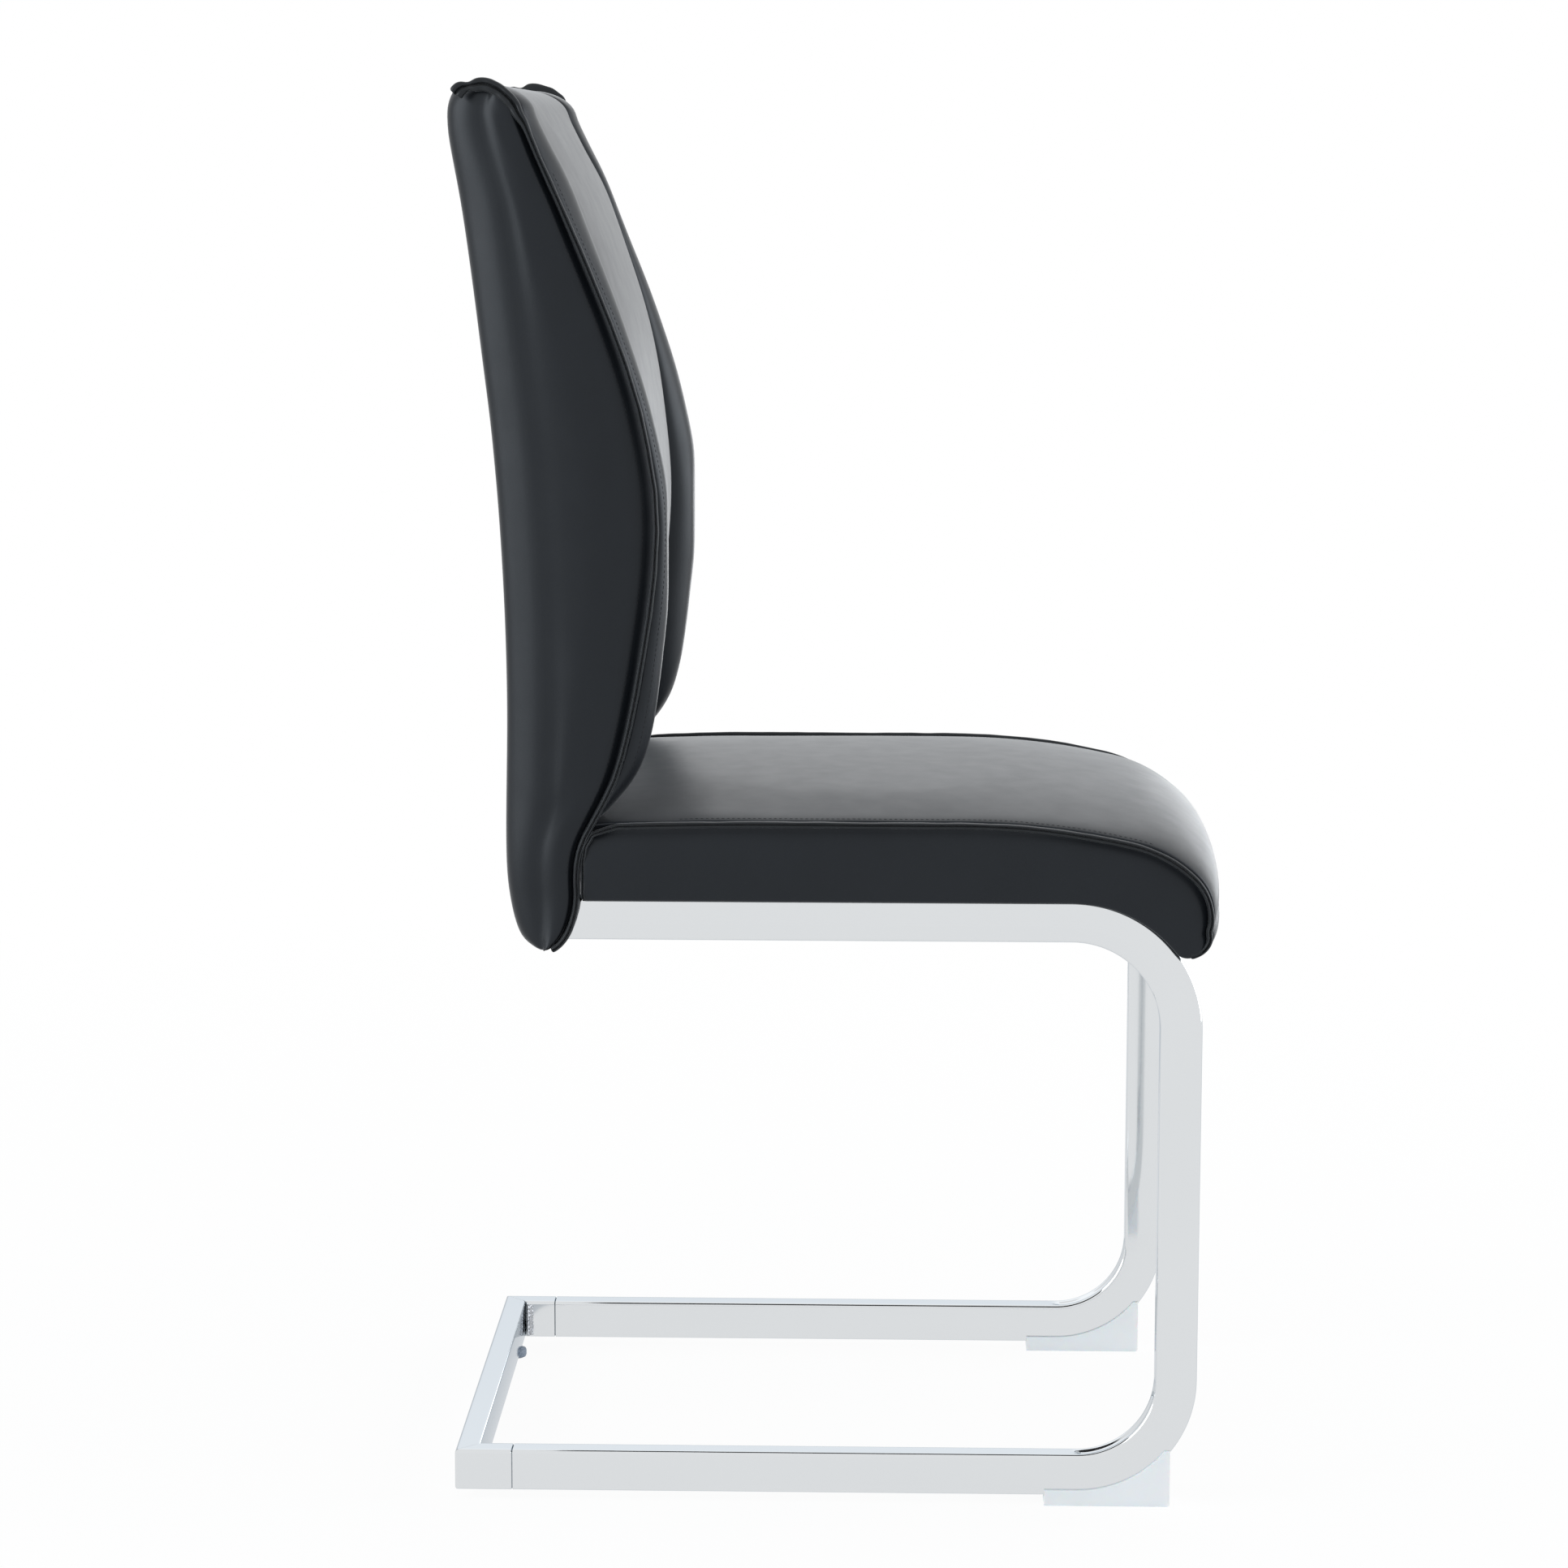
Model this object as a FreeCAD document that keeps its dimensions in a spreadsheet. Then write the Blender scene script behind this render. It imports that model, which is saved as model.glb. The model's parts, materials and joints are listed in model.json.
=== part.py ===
import FreeCAD, Part
import math
import os
import Sketcher
from FreeCAD import Placement, Rotation, Vector

# Cantilever dining chair: a bent rectangular-tube frame with an upholstered seat and high back.
# Millimetres, +Z up, the sitter faces -Y. Each piece is drawn from the rear face of the base
# crossbar (y = 0, forward is -y) and the underside of the base tubes (z = 0). At the end the whole
# chair is moved so that its origin is under the middle of its outline, on the floor.

SIZES = [
    # Tube frame
    ("frame_width", 410.0, "over the two side tubes"),
    ("frame_depth", 521.0, "rear face of the crossbar to the front face of the legs"),
    ("rail_rise", 395.0, "base underside to seat rail underside"),
    ("rail_setback", 50.0, "seat rails end this far ahead of the crossbar's rear face"),
    ("tube_height", 29.0, "tube section in the plane of the bends"),
    ("tube_thickness", 18.5, "tube section across the chair"),
    ("tube_wall", 1.5, "wall of every frame tube"),
    ("tube_corner", 1.5, "outer corner bevel of the tube section"),
    ("lower_bend", 54.0, "inside radius where the base turns up into the leg"),
    ("upper_bend", 62.0, "inside radius where the leg turns back into the seat rail"),
    ("crease_depth", 0.9, "how far the inner wall is drawn in through a bend"),
    ("crease_width", 12.0, "width of that drawn-in channel"),
    ("stub_length", 40.0, "crossbar corner pieces, rear face to the seam"),
    ("seam_gap", 0.3, "gap between a corner piece and its side tube"),
    ("weld_leg", 3.5, "leg of the weld bead in each inner corner"),
    # Joining sleeves
    ("sleeve_length", 90.0, "insert that joins a side tube to its corner piece"),
    ("sleeve_wall", 2.0, "wall of the insert"),
    ("sleeve_clearance", 0.2, "gap all round between insert and tube"),
    ("sleeve_start", 22.0, "rear end of the insert ahead of the crossbar's rear face"),
    # Floor contact
    ("glide_thickness", 7.0, "front glide under the tube, which sets the base height"),
    ("glide_back", 106.0, "rear end of the front glide behind the leg's front face"),
    ("glide_front", 18.0, "front end of the front glide behind the leg's front face"),
    ("glide_cheek", 1.8, "side wall of the front glide"),
    ("glide_lip", 4.0, "how far the side walls climb the tube"),
    ("glide_rise", 33.0, "top of the front glide above the base underside"),
    ("glide_stud", 8.0, "moulded stud that plugs into the tube"),
    ("glide_stud_length", 9.0, "how far the stud reaches into the tube"),
    ("rear_glide", 16.0, "diameter of the round rear glides"),
    ("rear_glide_spacing", 310.0, "between the two rear glides"),
    ("rear_glide_stem", 8.0, "stem plugged into the crossbar"),
    ("rear_glide_reach", 6.5, "how far the stem reaches into the crossbar"),
    # Seat
    ("seat_gap", 2.8, "between the seat and the back cushion that overhangs its rear edge"),
    ("side_overhang", 10.0, "seat and back beyond the frame, each side"),
    ("seat_setback", 93.0, "rear of the seat ahead of the crossbar's rear face"),
    ("seat_edge", 54.0, "height of the piping above the seat rails"),
    ("seat_nose", 526.0, "piping at the front of the nose, from the crossbar's rear face"),
    ("seat_crown", 13.0, "how far the middle of the seat stands above the piping"),
    ("nose_crown", 18.0, "how far the middle of the nose bulges past the piping"),
    ("nose_wrap", 51.0, "degrees of the upper bend that the seat front wraps"),
    ("board_thickness", 12.0, "bent plywood of the seat"),
    ("foam_over_nose", 9.0, "foam beyond the board's front edge"),
    ("cover_thickness", 1.5, "upholstery cover with its backing"),
    ("foam_fit", 0.3, "gap between foam and cover"),
    ("hem", 26.0, "cover turned under the board at the front and the rear"),
    ("side_hem", 2.5, "its side edges beyond the rails' inner walls"),
    ("lining_thickness", 0.8, "dust cloth under the seat"),
    ("shoulder_radius", 545.0, "seat edge: the long gentle arc ahead of the level stretch"),
    ("brow_radius", 90.0, "then the arc that turns down"),
    ("nose_radius", 40.0, "then the foremost arc"),
    ("chin_radius", 24.0, "then the arc that turns back under"),
    ("rear_rise_radius", 2500.0, "slight rise of the seat edge from the rear"),
    ("rear_round", 10.0, "rear corner of the seat edge"),
    ("piping", 5.0, "corded edge of the seat and welt of the back"),
    # Back
    ("back_top", 980.5, "top of the back above the base underside"),
    ("back_bottom", 377.0, "underside of the back above the base underside"),
    ("back_rear", 34.5, "upright part of the rear face ahead of the crossbar's rear face"),
    ("back_front", 143.5, "foremost point of the welt"),
    ("back_waist", 680.0, "height of that foremost point"),
    ("back_lean_start", 500.0, "height where the rear face starts to lean"),
    ("back_lean_radius", 2650.0, "arc of the rear face above that height"),
    ("welt_upper_radius", 315.0, "arc of the welt above the waist"),
    ("welt_lower_radius", 480.0, "arc of the welt below the waist"),
    ("welt_arc_rise", 120.0, "height of the upper arc, before the welt runs straight"),
    ("welt_foot", 87.5, "depth of the lower upright stretch of the welt"),
    ("welt_foot_radius", 60.0, "hollow arc that leads into that stretch"),
    ("bolster_ridge", 6.5, "side bolster ahead of the welt, least"),
    ("bolster_swell", 5.5, "how much more it stands out towards its ends"),
    ("bolster_middle", 740.0, "height where it stands out least"),
    ("swell_height", 180.0, "from that height to where it stands out most"),
    ("seam_valley", 10.5, "seam beside the bolster behind the welt at the waist"),
    ("seam_top", 8.5, "the same seam ahead of the welt near the top"),
    ("seam_height", 230.0, "height over which it changes from one to the other"),
    ("relief_height", 90.0, "height over which the front's relief grows above the seat rails"),
    ("panel_crown", 5.0, "middle of the front panel ahead of its seams"),
    ("seam_spacing", 350.0, "between the two upright seams of the front"),
    ("slot_clearance", 1.0, "gap round a rail where it enters the back"),
    ("top_rounding", 20.5, "height over which the top of the back is rounded"),
    ("side_rounding", 22.0, "how far the rear corner of the side band is rounded"),
    # Inner frame of the back
    ("post_width", 15.0, "upright tube across the chair"),
    ("post_depth", 25.0, "upright tube front to rear"),
    ("post_wall", 1.5, "wall of the inner tubes"),
    ("post_height", 500.0, "above the seat rail underside"),
    ("post_lean", 2.3, "degrees backwards"),
    ("post_setback", 54.0, "rear face of the post's foot ahead of the crossbar's rear face"),
    ("post_bolt_spacing", 15.0, "between the two bolts of a post"),
    ("panel_thickness", 1.2, "sheet steel panel that backs the foam, spot welded to the posts"),
    ("panel_drop", 20.0, "its upper edge below the post's top"),
    ("panel_rise", 120.0, "its lower edge above the post's foot"),
    ("cross_tube", 20.0, "square cross tubes of the back and the seat"),
    ("lower_cross_height", 90.0, "lower cross tube above the post's foot"),
    ("upper_cross_drop", 20.0, "upper cross tube below the post's top"),
    # Fixings
    ("bolt", 6.0, "thread of the post bolts"),
    ("bolt_clearance", 0.5, "hole over bolt or screw diameter"),
    ("bolt_head", 10.0, "across the flats of the bolt heads"),
    ("bolt_head_height", 3.3, "head height"),
    ("seat_screw", 5.0, "thread of the screws that hold the seat"),
    ("seat_screw_head", 8.0, "across the flats of their heads"),
    ("screw_access", 14.0, "hole in the rail's lower wall that takes the screw head"),
    ("seat_screw_rear", 150.0, "rear seat screws ahead of the crossbar's rear face"),
    ("seat_screw_front", 390.0, "front seat screws ahead of the crossbar's rear face"),
    ("insert", 9.0, "diameter of the threaded inserts in the rail's inner wall"),
    ("insert_flange", 12.0, "their flange"),
    ("insert_length", 11.0, "their length"),
    ("insert_flange_thickness", 1.0, "their flange thickness"),
    ("rear_brace", 200.0, "rear brace ahead of the crossbar's rear face"),
    ("front_brace", 340.0, "front brace ahead of the crossbar's rear face"),
    ("cap_thickness", 3.0, "flange of the rail end caps"),
    ("cap_plug", 10.0, "how far the caps plug into the rail"),
    ("cap_wall", 2.0, "wall of the caps"),
]

doc = FreeCAD.newDocument("CantileverChair")
sheet = doc.addObject("Spreadsheet::Sheet", "Sizes")
for row, (alias, number, note) in enumerate(SIZES, start=1):
    sheet.set(f"A{row}", alias)
    sheet.set(f"B{row}", str(number))
    sheet.set(f"C{row}", note)
    sheet.setAlias(f"B{row}", alias)
doc.recompute()

ORIGIN = -1
START, END, CENTRE = range(1, 4)
LEFT, RIGHT = 1, -1
SIDES = (("right", -1), ("left", 1))
MARGIN = 5.0
LOOSE = 0.05
parts = []


def value(expression):
    """The number that an expression on the sheet's sizes gives."""
    return float(sheet.evalExpression(expression))


class Named:
    """The sheet's sizes as plain numbers, for shapes that are worked out in code."""

    def __getattr__(self, alias):
        return float(sheet.get(alias))


S = Named()

# Expressions that several sketches share
TUBE_X = "(Sizes.frame_width - Sizes.tube_thickness) / 2"
LEG_REAR = "(Sizes.frame_depth - Sizes.tube_height)"
LOWER_CENTRE_Y = f"({LEG_REAR} - Sizes.lower_bend)"
LOWER_CENTRE_Z = "(Sizes.tube_height + Sizes.lower_bend)"
UPPER_CENTRE_Y = f"({LEG_REAR} - Sizes.upper_bend)"
UPPER_CENTRE_Z = "(Sizes.rail_rise - Sizes.upper_bend)"
RAIL_TOP = "(Sizes.rail_rise + Sizes.tube_height)"
SEAT_WIDTH = "(Sizes.frame_width + 2 * Sizes.side_overhang)"
JOINT_START = "(Sizes.stub_length + Sizes.seam_gap)"
SEAT_SCREWS = ("Sizes.seat_screw_rear", "Sizes.seat_screw_front")


def keep(feature, label):
    """Marks an object as a finished piece whose label names its file."""
    feature.Label = label
    parts.append(feature)
    return feature


def new_body(label):
    body = doc.addObject("PartDesign::Body", label)
    return keep(body, label)


def sketch_on(body, role, name, offset=None):
    """A sketch on one of the body's own origin planes, moved along the plane's normal by an expression."""
    plane = next(f for f in body.Origin.OriginFeatures if f.Role == role)
    sketch = body.newObject("Sketcher::SketchObject", name)
    sketch.AttachmentSupport = [(plane, "")]
    sketch.MapMode = "FlatFace"
    if offset:
        sketch.setExpression(".AttachmentOffset.Base.z", offset)
    return sketch


def bound(sketch, constraint, expression):
    """Adds a constraint that follows an expression."""
    index = sketch.addConstraint(constraint)
    sketch.setExpression(f"Constraints[{index}]", expression)


def hold(sketch, geometry, point, x, y):
    """Holds a point at expressions for its distances from the sketch's origin."""
    bound(sketch, Sketcher.Constraint("DistanceX", ORIGIN, 1, geometry, point, value(x)), x)
    bound(sketch, Sketcher.Constraint("DistanceY", ORIGIN, 1, geometry, point, value(y)), y)


def arc_through(start, end, radius, side):
    """The short arc from start to end whose centre lies on the given side, and the order of its ends."""
    chord = end - start
    across = Vector(-chord.y, chord.x, 0).normalize()
    reach = math.sqrt(max(radius * radius - chord.Length**2 / 4, 0.0))
    centre = (start + end) / 2 + across * side * reach
    first, last = (start, end) if side == LEFT else (end, start)
    angles = [math.atan2(p.y - centre.y, p.x - centre.x) for p in (first, last)]
    arc = Part.ArcOfCircle(Part.Circle(centre, Vector(0, 0, 1), radius), *angles)
    return arc, (START, END) if side == LEFT else (END, START)


def trace(sketch, corners, arcs=None, closed=True):
    """Draws lines and arcs from corner to corner. arcs maps a corner's number to (radius, side)."""
    arcs = arcs or {}
    spots = [Vector(value(x), value(y), 0) for x, y in corners]
    edges = []
    for i in range(len(corners) if closed else len(corners) - 1):
        start, end = spots[i], spots[(i + 1) % len(spots)]
        if i in arcs:
            radius, side = arcs[i]
            arc, order = arc_through(start, end, value(radius), side)
            geometry = sketch.addGeometry(arc, False)
            bound(sketch, Sketcher.Constraint("Radius", geometry, value(radius)), radius)
        else:
            geometry = sketch.addGeometry(Part.LineSegment(start, end), False)
            order = (START, END)
        edges.append((geometry, order))
    for i in range(len(edges) if closed else len(edges) - 1):
        (this, ends), (following, starts) = edges[i], edges[(i + 1) % len(edges)]
        sketch.addConstraint(Sketcher.Constraint("Coincident", this, ends[1], following, starts[0]))
    for (x, y), (geometry, order) in zip(corners, edges):
        hold(sketch, geometry, order[0], x, y)
    if not closed:
        geometry, order = edges[-1]
        hold(sketch, geometry, order[1], *corners[-1])


def bevelled(x0, y0, x1, y1, corner):
    """The corners of a rectangle with bevelled corners, anticlockwise from the lower edge."""
    return [
        (f"{x0} + {corner}", y0), (f"{x1} - {corner}", y0),
        (x1, f"{y0} + {corner}"), (x1, f"{y1} - {corner}"),
        (f"{x1} - {corner}", y1), (f"{x0} + {corner}", y1),
        (x0, f"{y1} - {corner}"), (x0, f"{y0} + {corner}"),
    ]


def rectangle(sketch, x0, y0, x1, y1):
    """A rectangle between two corners given as expressions."""
    trace(sketch, [(x0, y0), (x1, y0), (x1, y1), (x0, y1)])


def circle(sketch, x, y, radius):
    ring = Part.Circle(Vector(value(x), value(y), 0), Vector(0, 0, 1), value(radius))
    geometry = sketch.addGeometry(ring, False)
    bound(sketch, Sketcher.Constraint("Radius", geometry, value(radius)), radius)
    hold(sketch, geometry, CENTRE, x, y)


def channel(middle, edge, way):
    """The corners of the channel in the wall at edge. way is 1 along a lower wall, -1 along an upper one."""
    floor = f"{edge} + {way} * Sizes.crease_depth"
    mouth, bed = f"{way} * Sizes.crease_width / 2", f"{way} * Sizes.crease_width / 4"
    return [(f"{middle} - {mouth}", edge), (f"{middle} - {bed}", floor),
            (f"{middle} + {bed}", floor), (f"{middle} + {mouth}", edge)]


def tube_section(sketch, x0, y0, x1, y1, wall="Sizes.tube_wall", bevel="Sizes.tube_corner", drawn_in=None):
    """The outline and the bore of a rectangular tube. drawn_in names a wall with a channel, if any."""
    outline = bevelled(x0, y0, x1, y1, bevel)
    middle = f"({x0} + {x1}) / 2"
    if drawn_in == "lower":
        outline[1:1] = channel(middle, y0, 1)
    if drawn_in == "upper":
        outline[5:5] = channel(middle, y1, -1)
    trace(sketch, outline)
    rectangle(sketch, f"{x0} + {wall}", f"{y0} + {wall}", f"{x1} - {wall}", f"{y1} - {wall}")


def plain_tube_section(sketch, x0, y0, x1, y1, wall):
    """The outline and the bore of a sharp-cornered tube."""
    rectangle(sketch, x0, y0, x1, y1)
    rectangle(sketch, f"{x0} + {wall}", f"{y0} + {wall}", f"{x1} - {wall}", f"{y1} - {wall}")


def pad(body, sketch, name, length, midplane=False, reverse=False):
    feature = body.newObject("PartDesign::Pad", name)
    feature.Profile = sketch
    feature.setExpression("Length", length)
    feature.SideType = "Symmetric" if midplane else "One side"
    feature.Reversed = reverse
    return feature


def pocket_through(body, sketch, name):
    """Cuts a sketch all the way through, both ways from its plane."""
    feature = body.newObject("PartDesign::Pocket", name)
    feature.Profile = sketch
    feature.Type = "ThroughAll"
    feature.SideType = "Symmetric"
    return feature


def pocket(body, sketch, name, length, reverse=False):
    feature = body.newObject("PartDesign::Pocket", name)
    feature.Profile = sketch
    feature.setExpression("Length", length)
    feature.Reversed = reverse
    return feature


def volume_check(body, before, name):
    """Stops if the last cut of a body took nothing away."""
    doc.recompute()
    if body.Shape.Volume > before - 0.01:
        raise RuntimeError(f"{name} cuts nothing")


# Bent side tubes

GLIDE_STUD_Y = "(Sizes.frame_depth - Sizes.glide_back + Sizes.glide_stud)"
POST_BOLT_Y = "Sizes.post_setback + Sizes.post_depth / 2"
POST_BOLT_Z = "(Sizes.rail_rise + Sizes.tube_height / 2)"


def insert_spots():
    """Where the two bolts of a post enter the inner wall of a seat rail, as sketch expressions."""
    return [(f"-({POST_BOLT_Y})", f"{POST_BOLT_Z} + {end} * Sizes.post_bolt_spacing / 2") for end in (-1, 1)]


def side_tube(name, side):
    """One tube bent twice: base rail, leg and seat rail, with the inner wall drawn in through each bend."""
    body = new_body(f"side_tube_{name}")
    middle = f"{side} * {TUBE_X}"
    x0 = f"({middle} - Sizes.tube_thickness / 2)"
    x1 = f"({middle} + Sizes.tube_thickness / 2)"

    def section(label, plane, offset, low, high, drawn_in=None):
        sketch = sketch_on(body, plane, f"{label}_{name}", offset)
        tube_section(sketch, x0, low, x1, high, drawn_in=drawn_in)
        return sketch

    def bend(label, offset, low, high, centre_z, drawn_in, reverse):
        sketch = section(f"{label}_section", "XZ_Plane", offset, low, high, drawn_in)
        ends = [Vector(value(x), value(centre_z), 0) for x in (x0, x1)]
        axle = sketch.addGeometry(Part.LineSegment(*ends), True)
        hold(sketch, axle, START, x0, centre_z)
        hold(sketch, axle, END, x1, centre_z)
        doc.recompute()
        turn = body.newObject("PartDesign::Revolution", f"{label}_{name}")
        turn.Profile = sketch
        turn.ReferenceAxis = (sketch, ["Axis0"])
        turn.Angle = 90
        turn.Reversed = reverse
        doc.recompute()

    base = section("base_section", "XZ_Plane", JOINT_START, "0", "Sizes.tube_height")
    pad(body, base, f"base_rail_{name}", f"{LOWER_CENTRE_Y} - {JOINT_START}")
    bend("lower_bend", LOWER_CENTRE_Y, "0", "Sizes.tube_height", LOWER_CENTRE_Z, "upper", True)
    leg = section("leg_section", "XY_Plane", LOWER_CENTRE_Z, "(-Sizes.frame_depth)", f"(-{LEG_REAR})")
    pad(body, leg, f"leg_{name}", f"{UPPER_CENTRE_Z} - {LOWER_CENTRE_Z}")
    bend("upper_bend", UPPER_CENTRE_Y, "Sizes.rail_rise", RAIL_TOP, UPPER_CENTRE_Z, "lower", False)
    rail = section("rail_section", "XZ_Plane", "Sizes.rail_setback", "Sizes.rail_rise", RAIL_TOP)
    pad(body, rail, f"seat_rail_{name}", f"{UPPER_CENTRE_Y} - Sizes.rail_setback")
    doc.recompute()
    before = body.Shape.Volume
    hole = sketch_on(body, "XY_Plane", f"glide_hole_{name}")
    circle(hole, middle, f"-{GLIDE_STUD_Y}", "Sizes.glide_stud / 2")
    pocket(body, hole, f"glide_hole_cut_{name}", "Sizes.tube_wall", True)
    volume_check(body, before, f"glide hole {name}")
    before = body.Shape.Volume
    access = sketch_on(body, "XY_Plane", f"screw_access_{name}", "Sizes.rail_rise")
    through = sketch_on(body, "XY_Plane", f"screw_holes_{name}", "Sizes.rail_rise")
    for spot in SEAT_SCREWS:
        circle(access, middle, f"-{spot}", "Sizes.screw_access / 2")
        circle(through, middle, f"-{spot}", "(Sizes.seat_screw + Sizes.bolt_clearance) / 2")
    pocket(body, access, f"screw_access_cut_{name}", "Sizes.tube_wall", True)
    pocket(body, through, f"screw_hole_cut_{name}", "Sizes.tube_height", True)
    volume_check(body, before, f"seat screw holes {name}")
    before = body.Shape.Volume
    inner_wall = f"{side} * (Sizes.frame_width / 2 - Sizes.tube_thickness)"
    inserts = sketch_on(body, "YZ_Plane", f"insert_holes_{name}", inner_wall)
    for y, z in insert_spots():
        circle(inserts, y, z, "Sizes.insert / 2")
    pocket(body, inserts, f"insert_hole_cut_{name}", "Sizes.tube_wall", side > 0)
    volume_check(body, before, f"insert holes {name}")


for side_name, side_sign in SIDES:
    side_tube(side_name, side_sign)


# Rear of the base: mitred crossbar and corner pieces, weld beads, sleeves and screws


def crossbar():
    """The rear bar of the base, cut at 45 degrees at both ends."""
    body = new_body("base_crossbar")
    section = sketch_on(body, "YZ_Plane", "crossbar_section")
    tube_section(section, "(-Sizes.tube_thickness)", "0", "0", "Sizes.tube_height")
    pad(body, section, "crossbar_tube", "Sizes.frame_width", midplane=True)
    doc.recompute()
    before = body.Shape.Volume
    ends = sketch_on(body, "XY_Plane", "crossbar_mitres")
    for side in (-1, 1):
        edge = f"{side} * Sizes.frame_width / 2"
        inner = f"{side} * (Sizes.frame_width / 2 - Sizes.tube_thickness)"
        trace(ends, [(edge, "0"), (edge, "-Sizes.tube_thickness"), (inner, "-Sizes.tube_thickness")])
    pocket_through(body, ends, "crossbar_mitre_cut")
    volume_check(body, before, "crossbar mitres")
    before = body.Shape.Volume
    holes = sketch_on(body, "XY_Plane", "crossbar_glide_holes")
    for side in (-1, 1):
        spot = f"{side} * Sizes.rear_glide_spacing / 2"
        circle(holes, spot, "-Sizes.tube_thickness / 2", "Sizes.rear_glide_stem / 2")
    pocket(body, holes, "crossbar_glide_hole_cut", "Sizes.tube_wall", True)
    volume_check(body, before, "rear glide holes")


def corner_piece(name, side):
    """The short mitred tube between the crossbar and a side tube."""
    body = new_body(f"base_corner_{name}")
    section = sketch_on(body, "XZ_Plane", f"corner_section_{name}")
    outer = f"({side} * Sizes.frame_width / 2)"
    inner = f"({side} * (Sizes.frame_width / 2 - Sizes.tube_thickness))"
    low, high = (outer, inner) if side < 0 else (inner, outer)
    tube_section(section, low, "0", high, "Sizes.tube_height")
    pad(body, section, f"corner_tube_{name}", "Sizes.stub_length")
    doc.recompute()
    before = body.Shape.Volume
    mitre = sketch_on(body, "XY_Plane", f"corner_mitre_{name}")
    trace(mitre, [(outer, "0"), (inner, "0"), (inner, "-Sizes.tube_thickness")])
    pocket_through(body, mitre, f"corner_mitre_cut_{name}")
    volume_check(body, before, f"corner mitre {name}")


def weld_bead(name, side):
    """The bead that fills the inner corner between the crossbar and a corner piece."""
    body = new_body(f"corner_weld_{name}")
    sketch = sketch_on(body, "XY_Plane", f"weld_section_{name}", "Sizes.tube_corner")
    corner_x = f"{side} * (Sizes.frame_width / 2 - Sizes.tube_thickness)"
    tip_x = f"{side} * (Sizes.frame_width / 2 - Sizes.tube_thickness - Sizes.weld_leg)"
    inner_y = "-Sizes.tube_thickness"
    corners = [(corner_x, inner_y), (corner_x, f"{inner_y} - Sizes.weld_leg"), (tip_x, inner_y)]
    trace(sketch, corners, {1: ("Sizes.weld_leg * 1.6", LEFT if side < 0 else RIGHT)})
    pad(body, sketch, f"weld_run_{name}", "Sizes.tube_height - 2 * Sizes.tube_corner")


def sleeve(name, side):
    """The rectangular insert that bridges the seam inside the base tube."""
    body = new_body(f"joint_sleeve_{name}")
    section = sketch_on(body, "XZ_Plane", f"sleeve_section_{name}", "Sizes.sleeve_start")
    gap = "(Sizes.tube_wall + Sizes.sleeve_clearance)"
    half = f"(Sizes.tube_thickness / 2 - {gap})"
    x0, x1 = f"({side} * {TUBE_X} - {half})", f"({side} * {TUBE_X} + {half})"
    y0, y1 = gap, f"(Sizes.tube_height - {gap})"
    plain_tube_section(section, x0, y0, x1, y1, "Sizes.sleeve_wall")
    pad(body, section, f"sleeve_tube_{name}", "Sizes.sleeve_length")


crossbar()
for side_name, side_sign in SIDES:
    corner_piece(side_name, side_sign)
    weld_bead(side_name, side_sign)
    sleeve(side_name, side_sign)


# Fasteners: one drawn once, then copied to each of its places


def turned(outline):
    """A solid of revolution about Z from (radius, height) corners that start and end on the axis."""
    points = [Vector(radius, 0, height) for radius, height in outline]
    wire = Part.makePolygon(points + [points[0]])
    return Part.Face(wire).revolve(Vector(0, 0, 0), Vector(0, 0, 1), 360)


def copies(shape, placements):
    placed = []
    for place in placements:
        one = shape.copy()
        one.Placement = place
        placed.append(one)
    return Part.makeCompound(placed)


def group(label, shape, placements):
    """Identical pieces that share one node, each a separate solid."""
    feature = doc.addObject("Part::Feature", label)
    feature.Shape = copies(shape, placements)
    return keep(feature, label)


def piece(label, shape):
    """A shape worked out in code, kept as a piece."""
    feature = doc.addObject("Part::Feature", label)
    feature.Shape = shape
    return keep(feature, label)


def upward(x, y, z):
    return Placement(Vector(x, y, z), Rotation())


def downward(x, y, z):
    return Placement(Vector(x, y, z), Rotation(Vector(1, 0, 0), 180))


def sideways(x, y, z, side):
    """Local +Z points across the chair, towards +X on the left side and -X on the right."""
    return Placement(Vector(x, y, z), Rotation(Vector(0, 1, 0), 90 * side))


def hexagon_bolt(across, shank, height, length):
    """A hexagonal head above z = 0 and a plain shank below."""
    return hexagon(across, height, 0).fuse(Part.makeCylinder(shank, length, Vector(0, 0, -length)))


def hexagon(across, height, low):
    """A hexagonal prism about Z."""
    corner = across / math.sqrt(3)
    angles = [math.radians(60 * i) for i in range(7)]
    outline = [Vector(corner * math.cos(a), corner * math.sin(a), low) for a in angles]
    return Part.Face(Part.makePolygon(outline)).extrude(Vector(0, 0, height))


def threaded_insert():
    """A hexagonal rivet nut: flange above z = 0, body below, open through the middle."""
    depth = S.insert_length
    bore = Part.makeCylinder(S.bolt / 2 + LOOSE, depth + S.insert_flange_thickness, Vector(0, 0, -depth))
    across = (S.insert - 2 * LOOSE) * math.cos(math.radians(30))
    flange = hexagon(S.insert_flange, S.insert_flange_thickness, 0)
    return flange.fuse(hexagon(across, depth, -depth)).cut(bore)


tube_x = value(TUBE_X)
seat_width = value(SEAT_WIDTH)
rail_top = value(RAIL_TOP)
inner_wall_x = S.frame_width / 2 - S.tube_thickness
board_bottom = rail_top + S.cover_thickness
seat_screw_spots = [(side * tube_x, -value(spot)) for _, side in SIDES for spot in SEAT_SCREWS]

head_seat = rail_top - S.tube_wall
seat_screw_length = S.tube_wall + S.cover_thickness + S.board_thickness - 1
seat_screw = hexagon_bolt(S.seat_screw_head, S.seat_screw / 2 - LOOSE, S.bolt_head_height, seat_screw_length)
group("seat_screws", seat_screw,
      [downward(x, y, head_seat) for x, y in seat_screw_spots])

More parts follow.
